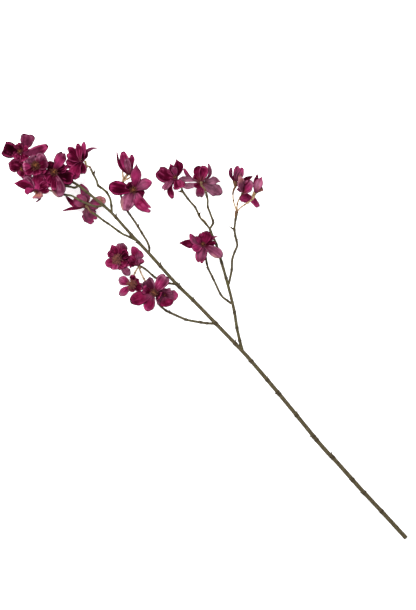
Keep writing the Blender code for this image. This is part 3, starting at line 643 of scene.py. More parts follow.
def petal_finish(looks):
    """Velvety petals: each has its own tones, with fine veins that fan from its foot, painted highlights on
    its streaks, a brighter band inside its rim that is partly painted highlight, and painted shade along the
    very edge.
    """
    material, graph, shader = new_finish(
        "Petal", Sheen_Weight=looks.sheen, Sheen_Roughness=0.45, Sheen_Tint=(1.0, 0.30, 0.55, 1.0),
        Specular_IOR_Level=0.0)
    across = graph.node("ShaderNodeSeparateXYZ", {0: graph.node("ShaderNodeUVMap", uv_map="petal")})
    onward = across.other("Y")
    place = graph.place()
    rim = graph.attribute("rim", "Color")
    streak_place = graph.combined(across * looks.streaks, onward * 1.4, graph.attribute("own") * 7.3)
    streak = graph.noise(streak_place, 1.0).step(0.33, 0.67)
    drift = graph.noise(place, 90.0) - 0.5
    fan = (across + drift * 0.10) * looks.veins
    vein = (abs(fan.to_and_fro() - 0.5) * 2.0).step(0.72, 1.0)
    fine_fan = (across + drift * 0.05) * (looks.veins * 2.6)
    fine_vein = fine_fan.to_and_fro().step(0.55, 1.0) * onward.step(0.2, 0.7)
    blotch = graph.noise(place, 75.0, 2.0).step(0.32, 0.68)
    grain = graph.noise(place, 900.0, 2.0)
    margin = (abs(across - 0.5) * 2.0).highest(onward * onward)
    # A lighter band inside the edge, partly the petal's paler margin and partly painted highlight, and
    # painted shade along the very edge.
    edge = margin.step(0.62, 0.80) * (1.0 - margin.step(0.84, 0.92))
    edge_shade = margin.step(0.86, 0.97)
    # The tint brightens along streaks and blotches, partly the petal's own mottling and partly painted light
    # and shade of its crumples, and darkens along its veins.
    shade = 0.46 + streak * 0.50 + blotch * 0.42 + grain * 0.14
    shade = shade - vein * looks.vein_depth - fine_vein * 0.10
    base = graph.scaled(graph.attribute("tint", "Color"), shade)
    # Painted highlight: where streaks and blotches are brightest, the tint turns toward the rim's paler tone.
    lit = graph.mix((streak * blotch).step(0.25, 1.0) * looks.streak_highlight, base, rim)
    deep = graph.mix(graph.attribute("throat") * (0.55 + streak * 0.35), lit, looks.throat)
    edged = graph.mix(edge * (0.25 + streak * 0.5), deep, rim)
    height = grain * 0.25 - vein * 0.8 - fine_vein * 0.35 + blotch * 0.4
    feed(graph, shader, (0.45, 0.0005, height), Base_Color=graph.scaled(edged, 1.0 - edge_shade * looks.edge_shade),
         Roughness=0.52 + grain * 0.2 - edge * 0.08)
    return material


def bark_finish(looks):
    """Olive brown bark, greener where the wood is young, with streaks, pale pores and dark nodes."""
    material, graph, shader = new_finish("Bark", Specular_IOR_Level=0.12)
    place = graph.place()
    run = graph.attribute("run")
    around = graph.attribute("around")
    streak = graph.noise(graph.combined(run * 40.0, around * 9.0), 3.0, 4.0)
    cracks = graph.noise(place, 1400.0)
    patch = graph.noise(place, 28.0, 2.0)
    cells = graph.node(
        "ShaderNodeTexVoronoi", {"Vector": graph.combined(run * 260.0, around * 7.0), "Scale": 1.0})
    pore = 1.0 - cells.step(0.10, 0.26)
    old = graph.mix(streak.step(0.3, 0.7), looks.dark, looks.light)
    fresh = graph.mix(streak.step(0.3, 0.7), looks.green, looks.light_green)
    wood = graph.mix((patch + graph.attribute("young") - 0.8).step(0.0, 0.5), old, fresh)
    wood = graph.mix(graph.attribute("knot") * 0.75, wood, looks.knot)
    wood = graph.mix(pore * 0.5, wood, looks.pore)
    height = streak * 0.7 + cracks * 0.4 + pore * 0.6
    feed(graph, shader, (0.6, 0.0004, height), Base_Color=graph.scaled(wood, 0.8 + cracks * 0.4),
         Roughness=0.6 + cracks * 0.3)
    return material


def stalk_finish(looks):
    """Tan stalks, orange brown towards their joints, with fine lengthwise lines."""
    material, graph, shader = new_finish("Stalk", Specular_IOR_Level=0.25)
    lines_place = graph.combined(graph.attribute("run") * 60.0, graph.attribute("around") * 12.0)
    lines = graph.noise(lines_place, 3.0)
    blotch = graph.noise(graph.place(), 160.0)
    tan = graph.mix(blotch.step(0.42, 0.75), looks.tan, looks.orange)
    olive = graph.mix(blotch.step(0.3, 0.7), looks.olive, looks.light_olive)
    colour = graph.mix(graph.attribute("young"), tan, olive)
    colour = graph.mix(graph.attribute("knot").step(0.1, 1.0), colour, looks.joint)
    height = lines * 0.6 + blotch * 0.4
    feed(graph, shader, (0.5, 0.0003, height), Base_Color=graph.scaled(colour, 0.75 + lines * 0.5),
         Roughness=0.45 + blotch * 0.25)
    return material


def heart_finish(looks):
    """Stamens: brown at the foot, golden at the tips, dusted."""
    material, graph, shader = new_finish("Heart", Specular_IOR_Level=0.1)
    low = graph.attribute("low")
    dust = graph.noise(graph.place(), 700.0)
    gold = graph.mix(dust.step(0.35, 0.65), looks.gold, looks.olive)
    brown = graph.mix(dust.step(0.4, 0.7), looks.olive, looks.brown)
    tips = graph.mix(low.step(0.05, 0.4), gold, brown)
    colour = graph.mix((graph.attribute("tip") + dust * 0.3).step(0.25, 0.85), looks.foot, tips)
    colour = graph.mix((1.0 - low).step(0.82, 0.96) * 0.8, colour, looks.gold)
    colour = graph.mix(graph.attribute("faded"), colour, looks.faded)
    feed(graph, shader, (0.4, 0.0003, dust), Base_Color=colour, Roughness=0.6 + dust * 0.3)
    return material


def floor_finish(looks):
    """A pale, matt, almost even surface."""
    material, graph, shader = new_finish(
        "Pale surface", Specular_IOR_Level=0.15, Emission_Color=(1.0, 1.0, 1.0, 1.0),
        Emission_Strength=looks.shine)
    faint = graph.noise(graph.place(), 6.0, 2.0)
    duller = [part * 0.985 for part in looks.floor]
    feed(graph, shader, Base_Color=graph.mix(faint, looks.floor, duller), Roughness=0.85 + faint * 0.1)
    return material


def plan(left, up, height):
    """A place on the plan, in metres."""
    return Vector((-left, up, height)) * MM


def linked(name, data):
    """A new object in the scene, at the origin."""
    thing = bpy.data.objects.new(name, data)
    bpy.context.scene.collection.objects.link(thing)
    return thing


def add_piece(name, mesh, material, slot_name, *nodes):
    """Lays a mesh from the plan into the frame. It rides on the branch and stands for its solids."""
    for corner in mesh.vertices:
        corner.co.z = max(corner.co.z, 0.0)
    mesh.transform(LAID)
    mesh.name = name
    mesh.materials.clear()
    mesh.materials.append(material)
    thing = linked(name, mesh)
    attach(thing, "root")
    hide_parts(*nodes)


def mark(mesh, name, values):
    """Gives each point of a mesh its number under a name, or all of them the same one."""
    if isinstance(values, float):
        values = [values] * len(mesh.vertices)
    mesh.attributes.new(name, "FLOAT", "POINT").data.foreach_set("value", values)


class MeshWork:
    """Points, edges and faces, and what each point carries, gathered for one mesh."""

    def __init__(self):
        self.points = []
        self.links = []
        self.faces = []
        self.values = {}

    def add(self, points, faces=(), links=(), **values):
        start = len(self.points)
        self.points += points
        self.faces += [tuple(start + corner for corner in face) for face in faces]
        self.links += [(start + first, start + second) for first, second in links]
        for name, column in values.items():
            self.values.setdefault(name, []).extend(column)

    def add_line(self, points, **values):
        """Adds a line through points."""
        self.add(points, links=[(number, number + 1) for number in range(len(points) - 1)], **values)

    def mesh(self, name):
        """The mesh with its attributes: numbers, vectors, colours of four parts, and a UV map of two."""
        mesh = bpy.data.meshes.new(name)
        mesh.from_pydata(self.points, self.links, self.faces)
        for title, column in self.values.items():
            if isinstance(column[0], float):
                mark(mesh, title, column)
            elif len(column[0]) == 2:
                layer = mesh.uv_layers.new(name=title)
                for corner in mesh.loops:
                    layer.uv[corner.index].vector = column[corner.vertex_index]
            else:
                kind, field = VALUE_KINDS[len(column[0])]
                flat = [part for value in column for part in value]
                mesh.attributes.new(title, kind, "POINT").data.foreach_set(field, flat)
        return mesh


def joined(first, second):
    """Two meshes as one, with the attributes that they share by name."""
    shape = bmesh.new()
    shape.from_mesh(first)
    shape.from_mesh(second)
    mesh = bpy.data.meshes.new(first.name)
    shape.to_mesh(mesh)
    shape.free()
    return mesh


def face_outwards(mesh):
    """Turns the faces of closed shapes outwards."""
    shape = bmesh.new()
    shape.from_mesh(mesh)
    bmesh.ops.recalc_face_normals(shape, faces=shape.faces)
    shape.to_mesh(mesh)
    shape.free()


def grown(name, mesh, tree, material, **inputs):
    """Runs a mesh through a geometry tree with its inputs, and returns the plain mesh that it makes."""
    host = linked(name + "_host", mesh)
    growth = host.modifiers.new("growth", "NODES")
    growth.node_group = tree
    sockets = {item.name: item.identifier for item in tree.interface.items_tree if item.in_out == "INPUT"}
    for title, value in {"Material": material, **inputs}.items():
        growth[sockets[title.replace("_", " ")]] = value
    bpy.context.view_layer.update()
    graph = bpy.context.evaluated_depsgraph_get()
    made = bpy.data.meshes.new_from_object(host.evaluated_get(graph))
    host.modifiers.remove(growth)
    bpy.data.objects.remove(host, do_unlink=True)
    return made


def new_tree(name, **inputs):
    """A geometry tree with a mesh and a material going in, its other inputs, and a mesh coming out."""
    tree = bpy.data.node_groups.new(name, "GeometryNodeTree")
    tree.interface.new_socket("Geometry", in_out="OUTPUT", socket_type="NodeSocketGeometry")
    tree.interface.new_socket("Geometry", in_out="INPUT", socket_type="NodeSocketGeometry")
    tree.interface.new_socket("Material", in_out="INPUT", socket_type="NodeSocketMaterial")
    for title, value in inputs.items():
        kind = "NodeSocketInt" if isinstance(value, int) else "NodeSocketFloat"
        socket = tree.interface.new_socket(title.replace("_", " "), in_out="INPUT", socket_type=kind)
        socket.default_value = value
    graph = Graph(tree)
    return tree, graph, graph.node("NodeGroupInput")


def end_tree(graph, shape, entry):
    """Closes a tree: realize, set the material, and give it out."""
    real = graph.node("GeometryNodeRealizeInstances", {0: shape})
    smooth = graph.node("GeometryNodeSetShadeSmooth", {0: real})
    done = graph.node("GeometryNodeSetMaterial", {0: smooth, "Material": entry.other("Material")})
    out = graph.tree.nodes.new("NodeGroupOutput")
    graph.tree.links.new(done.socket, out.inputs[0])


def rods_tree():
    """Round rods along lines of points, as thick as each point says, with an uneven skin."""
    tree, graph, entry = new_tree("Rods", Sides=12, Unevenness=0.0003, Lump_Scale=350.0)
    line = graph.node("GeometryNodeMeshToCurve", {0: entry})
    circle = graph.stored(graph.circle(entry.other("Sides")), "around", graph.way())
    rod = graph.swept(line, circle, graph.named("girth"))
    lump = graph.noise(graph.node("GeometryNodeInputPosition"), entry.other("Lump Scale")) - 0.5
    push = graph.scaled(graph.node("GeometryNodeInputNormal"), lump * entry.other("Unevenness") * 2.0)
    end_tree(graph, graph.node("GeometryNodeSetPosition", {0: rod, "Offset": push}), entry)
    return tree


def buds_tree():
    """A small pointed bud at each point, turned and sized as the point says."""
    tree, graph, entry = new_tree("Buds", Girth=0.3, Sides=8)
    line = graph.node("GeometryNodeCurvePrimitiveLine", {"Start": (0, 0, 0), "End": (0, 0, 1)}, mode="POINTS")
    line = graph.node("GeometryNodeResampleCurve", {0: line, "Count": 9}, mode="COUNT")
    girth = graph.profile(BUD_PROFILE) * entry.other("Girth")
    body = graph.swept(line, graph.circle(entry.other("Sides")), girth)
    turn = graph.node(
        "FunctionNodeAlignRotationToVector", {"Vector": graph.named("toward", "FLOAT_VECTOR")}, axis="Z")
    points = graph.node("GeometryNodeMeshToPoints", {0: entry})
    end_tree(graph, graph.scattered(points, body, turn, graph.named("size", "FLOAT_VECTOR")), entry)
    return tree


def stamens_tree():
    """Stamens on a small dome: thin bent stalks with swollen tips, each a little different."""
    tree, graph, entry = new_tree(
        "Stamens", Density=6000000.0, Spacing=0.0009, Length=0.007, Spread=0.45, Thickness=0.085, Seed=1)
    length = entry.other("Length")
    seed = entry.other("Seed")
    spots = graph.node(
        "GeometryNodeDistributePointsOnFaces",
        {0: entry, "Distance Min": entry.other("Spacing"), "Density Max": entry.other("Density"),
         "Seed": seed},
        distribute_method="POISSON")
    line = graph.node(
        "GeometryNodeCurvePrimitiveBezierSegment",
        {"Resolution": 6, "Start": (0, 0, 0), "Start Handle": (0, 0, 0.4), "End Handle": (0.05, 0, 0.8),
         "End": (0.28, 0, 1)}, mode="POSITION")
    line = graph.stored(line, "tip", graph.way())
    thread = graph.swept(line, graph.circle(5), graph.profile(STAMEN_PROFILE) * entry.other("Thickness"))
    tilt = graph.node(
        "FunctionNodeRandomValue", {"Min": (-0.5, -0.5, 0.0), "Max": (0.5, 0.5, CIRCLE), "Seed": seed},
        data_type="FLOAT_VECTOR")
    turn = graph.node(
        "FunctionNodeRotateRotation",
        {0: spots.other("Rotation"), 1: graph.node("FunctionNodeEulerToRotation", {0: tilt})},
        rotation_space="LOCAL")
    growth = graph.node("FunctionNodeRandomValue", {2: 0.65, 3: 1.1, "Seed": seed}, 1, data_type="FLOAT")
    height = growth * length * (0.6 + graph.named("low") * entry.other("Spread"))
    stamens = graph.scattered(spots, thread, turn, graph.combined(length, length, height))
    both = graph.tree.nodes.new("GeometryNodeJoinGeometry")
    graph.tree.links.new(entry.socket, both.inputs[0])
    graph.tree.links.new(stamens.socket, both.inputs[0])
    end_tree(graph, Wire(graph, both.outputs[0]), entry)
    return tree


def shares(steps):
    """The shares of the way at each step, from 0 to 1."""
    return [step / steps for step in range(steps + 1)]


def clamped(value):
    return max(0.0, min(1.0, value))


def bloom_axis(bloom):
    """The way that a bloom faces, from its heading on the plan and its turn away from straight up."""
    heading, rise = math.radians(bloom.faces[0]), math.radians(90 - bloom.faces[1])
    level = math.cos(rise)
    return Vector((math.cos(heading) * level, math.sin(heading) * level, math.sin(rise)))


def cup_foot(bloom):
    """Where the cup under a bloom starts."""
    return plan(*bloom.place) - bloom_axis(bloom) * (SEAT_GAP + CUP_LENGTH) * MM


def eased(start, end, leave, arrive, t):
    """A place on the smooth curve that leaves its start one way and arrives at its end another way."""
    curve = start * (2 * t**3 - 3 * t**2 + 1) + end * (3 * t**2 - 2 * t**3)
    return curve + (leave * (t**3 - 2 * t**2 + t) + arrive * (t**3 - t**2))


def smooth_line(points, rounding, step):
    """Points about a step apart on a line through the given ones, with its corners rounded by a share."""
    line = []
    last = len(points) - 1
    for number, (start, end) in enumerate(zip(points, points[1:])):
        length = (end - start).length
        leave = (end - points[max(0, number - 1)]).normalized() * length
        arrive = (points[min(last, number + 2)] - start).normalized() * length
        for t in shares(max(1, round(length / step)))[:-1]:
            line.append(start.lerp(end, t).lerp(eased(start, end, leave, arrive, t), rounding))
    return line + [points[-1]]


def distances(line):
    """How far along the line each of its points is."""
    reach = [0.0]
    for start, end in zip(line, line[1:]):
        reach.append(reach[-1] + (end - start).length)
    return reach


def walked(line, distance):
    """The place and direction at a distance in millimetres along a line of points."""
    left = distance * MM
    for start, end in zip(line, line[1:]):
        step = (end - start).length
        if left <= step:
            break
        left -= step
    direction = (end - start).normalized()
    return start + direction * min(left, step), direction


def swelling(reach, places, width):
    """How much each point of a line swells for the places along it: 1 at a place, 0 away from it."""
    return [max([math.exp(-((here - place) / width) ** 2) for place in places] or [0.0]) for here in reach]


def twig_corners(name):
    return [plan(*spot) for spot in TWIGS[name].points]


def add_twig(work, name, looks):
    """Adds a twig's middle line, with its girth, its greenness and the nodes that swell it."""
    twig = TWIGS[name]
    corners = twig_corners(name)
    line = smooth_line(corners, CORNER_ROUNDING, TWIG_STEP)
    reach = distances(line)
    places = [bud.along * MM for bud in BUDS if bud.twig == name]
    knots = swelling(reach, places + distances(corners)[1:-1:2], NODE_WIDTH)
    girths, young = [], []
    for here, knot in zip(reach, knots):
        share = here / reach[-1]
        girth = twig.radius + (twig.tip - twig.radius) * share ** TAPER_POWER + looks.extra
        wander = noise.noise(Vector((here * WANDER_PACE, len(name), twig.radius))) * looks.wander
        end_swell = looks.end_swell * math.exp(-((reach[-1] - here) / TWIG_END_WIDTH) ** 2)
        girths.append(girth * (1 + knot * looks.node_swell + wander + end_swell) * MM)
        young.append(twig.young[0] + (twig.young[1] - twig.young[0]) * share * share)
    for spot, girth in zip(line, girths):
        spot.z = max(spot.z, girth * GROUND_SHARE)
    work.add_line(line, girth=girths, young=young, knot=knots, run=[here + len(name) for here in reach])


def bud_points():
    """A point for each bud, on the skin of its twig, with the way that it points and its size."""
    work = MeshWork()
    for bud in BUDS:
        spot, direction = walked(twig_corners(bud.twig), bud.along)
        across = UP.cross(direction).normalized()
        outward = Matrix.Rotation(math.radians(bud.side - 90), 3, direction) @ across
        toward = (outward + direction * BUD_LEAN).normalized()
        reach = (TWIGS[bud.twig].tip + bud.length) * MM
        girth = min(reach, BUD_WIDTH)
        work.add([spot], toward=[tuple(toward)], size=[(girth, girth, reach)])
    return work.mesh("buds")


def add_rod(work, line, girths, knots):
    """Adds a rod's middle line, with its girths in millimetres and how brown it is."""
    run = [here + len(work.points) * 0.01 for here in distances(line)]
    work.add_line(line, girth=[girth * MM for girth in girths], knot=knots, run=run)


def add_stalk(work, bloom_name, knob_middle, direction, looks, brown):
    """Adds the stalk of a bloom, from the knob, and the flared cup at its end."""
    bloom = BLOOMS[bloom_name]
    axis = bloom_axis(bloom)
    foot = cup_foot(bloom)
    end = foot + axis * MM
    pull = (end - knob_middle).length
    bow = Vector((-STALK_BOWS.get(bloom_name, 0.0), 0, 0)) * MM
    line = [
        bow * math.sin(math.pi * share) + eased(knob_middle, end, direction * pull, axis * pull, share)
        for share in shares(STALK_STEPS)]
    reach = distances(line)
    joints = swelling(reach, [reach[-1] * share for share in STALK_JOINTS], JOINT_WIDTH)
    ends = swelling(reach, [0.0], STALK_END_WIDTH)
    girths = [STALK_RADIUS * (1 + joint * looks.joint_swell) for joint in joints]
    add_rod(work, line, girths, [max(brown, *pair) for pair in zip(joints, ends)])
    cup = [foot + axis * CUP_LENGTH * MM * share for share in shares(CUP_STEPS)]
    flare = [
        CUP_FOOT_RADIUS + (CUP_RADIUS - CUP_FOOT_RADIUS) * share ** CUP_FLARE
        for share in shares(CUP_STEPS)]
    browns = [
        max(brown, RIM_BROWN if min(share, 1 - share) < RIM_SHARE else CUP_BROWN)
        for share in shares(CUP_STEPS)]
    add_rod(work, cup, flare, browns)


def stalks_lines(name, looks):
    """The lines of a knob with its rings, its stalks and cups, and the bracts and threads beside them."""
    stalks = STALKS[name]
    corners = twig_corners(stalks.twig)
    direction = (corners[-1] - corners[-2]).normalized()
    foot = corners[-1] + direction * SEAT_GAP * MM
    end = foot + direction * KNOB_LENGTH * MM
    girth = TWIGS[stalks.twig].tip * looks.knob
    work = MeshWork()
    knob = [foot.lerp(end, share) for share in shares(KNOB_STEPS)]
    rings = [
        1.0 + KNOB_BULGE * math.sin(math.pi * share) + RING_DEPTH * math.sin(share * KNOB_STEPS * RING_PACE)
        for share in shares(KNOB_STEPS)]
    add_rod(work, knob, [girth * ring for ring in rings], [1.0] * len(knob))
    for bloom_name in stalks.blooms:
        add_stalk(work, bloom_name, (foot + end) / 2, direction, looks, stalks.brown)
    for shoot in SHOOTS.get(name, ()):
        line = smooth_line([plan(*spot) for spot in shoot.points], 1.0, BRACT_STEP)
        girths = [
            shoot.radius + (shoot.tip - shoot.radius) * share ** BRACT_TAPER
            for share in shares(len(line) - 1)]
        add_rod(work, line, girths, [shoot.brown] * len(line))
    return work.mesh(name)


def split_way(count, share):
    """The number of the first of two neighbours at a share of the way along some, and how far past it."""
    reach = max(0.0, min(0.9999, share)) * (count - 1)
    return int(reach), reach - int(reach)


def blended(first, second, share):
    """A colour between two others."""
    return tuple(a + (b - a) * share for a, b in zip(first, second))


def tone_at(tones, share):
    """A colour between the tones that run from the foot of a petal to its tip."""
    first, blend = split_way(len(tones), share)
    return blended(tones[first], tones[first + 1], blend * blend * (3 - 2 * blend))


def between(path, share):
    """The place and directions at a share of the way along a midrib."""
    first, rest = split_way(len(path), share)
    return [a.lerp(b, rest) for a, b in zip(path[first], path[first + 1])]


def midrib(petal, form, bloom, level):
    """The middle of a petal, foot to tip, as places with the way across and the way up."""
    axis = bloom_axis(bloom)
    centre = plan(*bloom.place) + axis * BASE_HEIGHT * level * MM
    tip = plan(*bloom.place) + Vector((petal.right, petal.up, petal.above)) * MM
    outward = tip - centre
    outward = (outward - axis * outward.dot(axis)).normalized()
    foot = centre + outward * PETAL_ROOT_RADIUS * MM
    chord = tip - foot
    lean = math.atan2(chord.dot(outward), chord.dot(axis))
    side = axis.cross(outward)
    middle_slope = axis * math.sin(lean) - outward * math.cos(lean)
    face = math.copysign(1.0, middle_slope.z)
    turn = -face * math.atan2(side.z, abs(middle_slope.z)) * FACE_TURN
    bow, roll = math.radians(petal.curl), math.radians(form.roll)
    slopes = [
        bow * (share - 0.5) + roll * max(0.0, share - ROLL_START) / (1 - ROLL_START)
        for share in shares(RIB_STEPS)]
    spots = [Vector((0, 0))]
    for before, after in zip(slopes, slopes[1:]):
        slope = (before + after) / 2
        spots.append(spots[-1] + Vector((math.sin(slope), math.cos(slope))))
    turned = lean - math.atan2(spots[-1].x, spots[-1].y)
    size = chord.length / spots[-1].length
    path = []
    for share, spot, slope in zip(shares(RIB_STEPS), spots, slopes):
        away = math.atan2(spot.x, spot.y) + turned
        reach = spot.length * size
        place = foot + outward * math.sin(away) * reach + axis * math.cos(away) * reach
        place += side * math.sin(math.pi * share) * petal.sway * chord.length
        tangent = outward * math.sin(slope + turned) + axis * math.cos(slope + turned)
        tangent = (tangent + side * math.pi * math.cos(math.pi * share) * petal.sway).normalized()
        across = (side - tangent * side.dot(tangent)).normalized()
        across = Matrix.Rotation(turn * min(1.0, share / TURN_REACH), 3, tangent) @ across
        path.append((place, across, tangent.cross(across) * -1))
    return path


def outline(form, share, tip_end):
    """How wide a petal is at a row, and how far along the petal the edge of the row lies."""
    if share < form.belly:
        width = FOOT_SHARE + (1 - FOOT_SHARE) * math.sin(math.pi / 2 * (share / form.belly) ** form.neck)
        return width, share
    turn = tip_end * (share - form.belly) / (1 - form.belly)
    width = math.cos(turn) ** (2 / form.blunt)
    edge = form.belly + (1 - form.belly) * math.sin(turn) ** (2 / form.blunt)
    return width, min(edge, share)


def petal_skin(path, petal, form, looks, seed):
    """Each place on a petal, row by row: how far across it lies and how far on, and what is there.

    What is there is a point on the upper face, one on the under face, and the way up.
    """
    half = petal.width / 2 * MM
    tip_end = math.radians(BLUNT_TIP if form.blunt > 1.5 else SHARP_TIP)
    tip_width = math.cos(tip_end) ** (2 / form.blunt)
    low = (1 - tip_width ** form.blunt) ** (1 / form.blunt)
    chance = random.Random(seed)
    phases = [chance.uniform(0, CIRCLE) for _ in range(2)]
    waves = [chance.uniform(1.6, 2.8) for _ in range(2)]
    depth = chance.uniform(0.7, 1.3) * form.wave * looks.ruffle
    folds = chance.choice((1.5, 2.0, 2.5)) * math.pi
    fold_phase = chance.uniform(0, CIRCLE)
    lip = chance.choice((-1.0, -1.0, 1.0)) * looks.lip
    dent_shift = Vector((0, 0, seed * 0.01))
    for share in shares(PETAL_ROWS - 1):
        width, edge = outline(form, share, tip_end)
        for crossing in shares(PETAL_COLUMNS - 1):
            x = crossing * 2 - 1
            far = abs(x)
            dip = ((1 - (far * tip_width) ** form.blunt) ** (1 / form.blunt) - low) / (1 - low)
            notch = form.notch * math.exp(-((x - form.split) / NOTCH_WIDTH) ** 2)
            here = edge + (share - edge) * dip - notch * max(0.0, share - 0.5) * 2 * share
            place, across, normal = between(path, here)
            reach = x * width
            lift = form.hollow * reach * reach + form.fold * abs(reach) + lip * far ** 6 * width
            wing = int(x > 0)
            swing = math.sin(waves[wing] * here * CIRCLE + phases[wing])
            wave = swing * depth * far ** 2 * 2 * min(1.0, here * 3)
            dent = noise.noise((place + dent_shift) * DENT_PACE) * looks.crumple * min(1.0, here * 2)
            ridge = math.cos(x * folds + fold_phase) * looks.ridges * min(1.0, here * 2.5) * width
            point = place + across * reach * half + normal * ((lift + wave) * half + (dent + ridge) * MM)
            thick = looks.thickness * (0.5 - EDGE_THINNING * far ** 4) * MM
            upper, under = point + normal * thick, point - normal * thick
            deepest = min(upper.z, under.z)
            if deepest < 0:
                upper.z -= deepest
                under.z -= deepest
            yield x, here, upper, under, normal


def blade_faces(rows, columns):
    """Both faces of a blade, and the wall round its edge."""
    back = rows * columns
    faces = []
    for row in range(rows - 1):
        for column in range(columns - 1):
            a = row * columns + column
            b, c, d = a + 1, a + columns + 1, a + columns
            faces += [(a, b, c, d), (back + a, back + d, back + c, back + b)]
    edge = [*range(columns), *range(2 * columns - 1, back, columns)]
    edge += [*range(back - 2, back - columns - 1, -1), *range(back - 2 * columns, 0, -columns)]
    for first, second in zip(edge, edge[1:] + edge[:1]):
        faces.append((first, back + first, back + second, second))
    return faces


def add_petal(work, bloom, number, looks, tones, seed):
    """Adds one petal of a bloom, with the tones of its two faces."""
    petal = bloom.petals[number]
    form = FORMS[petal.form]
    path = midrib(petal, form, bloom, PETAL_LEVELS[number % len(PETAL_LEVELS)])
    seen_up = path[len(path) // 2][2].z > 0
    names = petal.tones.split()
    seen = [tones[name] for name in names]
    hidden = [tones[name] for name in (UNDER_TONES if seen_up else UPPER_TONES)]
    rim = (*tones[RIMS.get(names[-1], names[-1])], 1.0)
    inner, outer, seen_tints, hidden_tints, spots, throats = [], [], [], [], [], []
    for x, here, upper, under, normal in petal_skin(path, petal, form, looks, seed):
        inner.append(upper)
        outer.append(under)
        tint = tone_at(seen, here)
        if petal.cream:
            cream = clamped(min((x * petal.cream - 0.5) / 0.45, here * 2.5 - 1.1))
            tint = blended(tint, tones["cream"], cream * CREAM_SHARE)
        back = tone_at(hidden, here)
        upward = clamped(0.5 + normal.z * 2.5)
        facing = upward if seen_up else 1 - upward
        seen_tints.append((*blended(back, tint, facing), 1.0))
        hidden_tints.append((*blended(tint, back, facing), 1.0))
        spots.append((0.5 + 0.5 * x, here))
        throats.append(max(0.0, 1 - here / THROAT_REACH) if bloom.heart else 0.0)
    tints = seen_tints + hidden_tints if seen_up else hidden_tints + seen_tints
    count = len(inner)
    work.add(
        inner + outer, blade_faces(PETAL_ROWS, PETAL_COLUMNS), tint=tints, rim=[rim] * (count * 2),
        petal=spots * 2, throat=throats + [0.0] * count, own=[float(seed)] * (count * 2))


def add_base(work, bloom, tones):
    """Adds the small rounded base that the petals grow from."""
    turn = UP.rotation_difference(bloom_axis(bloom))
    foot = plan(*bloom.place)
    points = []
    for height, radius in BASE_PROFILE:
        for side in range(BASE_SIDES):
            angle = 2 * math.pi * side / BASE_SIDES
            spot = Vector((radius * math.cos(angle), radius * math.sin(angle), height))
            points.append(foot + turn @ (spot * MM))
    count = len(points)
    faces = []
    for low in range(0, count - BASE_SIDES, BASE_SIDES):
        for side in range(BASE_SIDES):
            after = (side + 1) % BASE_SIDES
            faces.append((low + side, low + after, low + BASE_SIDES + after, low + BASE_SIDES + side))
    faces += [tuple(range(BASE_SIDES))[::-1], tuple(range(count - BASE_SIDES, count))]
    colours = [(*tones["dusk"], 1.0)] * count
    work.add(points, faces, tint=colours, rim=colours, petal=[(0.5, 0.1)] * count, throat=[0.0] * count,
             own=[0.0] * count)


def heart_dome(bloom, looks):
    """The cone in the middle of a bloom that the stamens stand on."""
    axis = bloom_axis(bloom)
    turn = UP.rotation_difference(axis)
    foot = plan(*bloom.place) + axis * (BASE_HEIGHT + SEAT_GAP) * MM
    size = bloom.heart * looks.dome * MM
    shape = bmesh.new()
    bmesh.ops.create_icosphere(shape, subdivisions=3, radius=1.0)
    bmesh.ops.bisect_plane(
        shape, geom=[*shape.verts, *shape.edges, *shape.faces], plane_co=(0, 0, 0), plane_no=(0, 0, 1),
        clear_inner=True)
    bmesh.ops.contextual_create(shape, geom=[edge for edge in shape.edges if edge.is_boundary])
    bmesh.ops.recalc_face_normals(shape, faces=shape.faces)
    for corner in shape.verts:
        corner.co = foot + turn @ (Vector((corner.co.x, corner.co.y, corner.co.z * DOME_RISE)) * size)
    mesh = bpy.data.meshes.new("dome")
    shape.to_mesh(mesh)
    shape.free()
    heights = [(corner.co - foot).dot(axis) for corner in mesh.vertices]
    tall = max(heights)
    mark(mesh, "tip", 0.1)
    mark(mesh, "low", [1 - max(0.0, height / tall) for height in heights])
    return mesh


def colour(name, description, *parts):
    """A colour that the user can change."""
    return FloatVectorProperty(name=name, description=description, size=3, subtype="COLOR", default=parts)


class BarkLooks(bpy.types.PropertyGroup):
    sides: IntProperty(name="Sides", description="Sides of a twig", default=14, min=6, max=32)
    extra: FloatProperty(name="Bark", description="Bark on the wood, in millimetres", default=0.42)
    end_swell: FloatProperty(name="End swell", description="How much a twig swells at its end", default=0.15)
    wander: FloatProperty(
        name="Wander", description="How much a twig's girth wanders", default=0.05, min=0.0)
    node_swell: FloatProperty(
        name="Node swell", description="How much a twig swells at a node", default=0.22)
    unevenness: FloatProperty(
        name="Unevenness", description="Height of the lumps in the bark", default=0.00022,
        subtype="DISTANCE", precision=5)
    dark: colour("Dark", "Dark streaks of the bark", 0.026, 0.020, 0.010)
    light: colour("Light", "Light streaks of the bark", 0.100, 0.080, 0.042)
    green: colour("Green", "Young wood in its dark streaks", 0.030, 0.031, 0.008)
    light_green: colour("Light green", "Young wood in its light streaks", 0.090, 0.086, 0.032)
    knot: colour("Node", "The wood at a node", 0.026, 0.017, 0.009)
    pore: colour("Pore", "The pale pores of the bark", 0.170, 0.140, 0.085)


class StalkLooks(bpy.types.PropertyGroup):
    sides: IntProperty(name="Sides", description="Sides of a stalk", default=14, min=6, max=32)
    joint_swell: FloatProperty(
        name="Joint swell", description="How much a stalk swells at a joint", default=0.45)
    knob: FloatProperty(name="Knob", description="The knob's girth over the twig's", default=1.2)
    tan: colour("Tan", "The stalk's main colour", 0.370, 0.250, 0.140)
    orange: colour("Orange brown", "The stalk's blotches", 0.200, 0.095, 0.034)
    joint: colour("Joint", "The stalk at its joints", 0.085, 0.036, 0.013)
    olive: colour("Olive", "Young stalks", 0.085, 0.075, 0.028)
    light_olive: colour("Light olive", "The blotches of young stalks", 0.190, 0.155, 0.070)


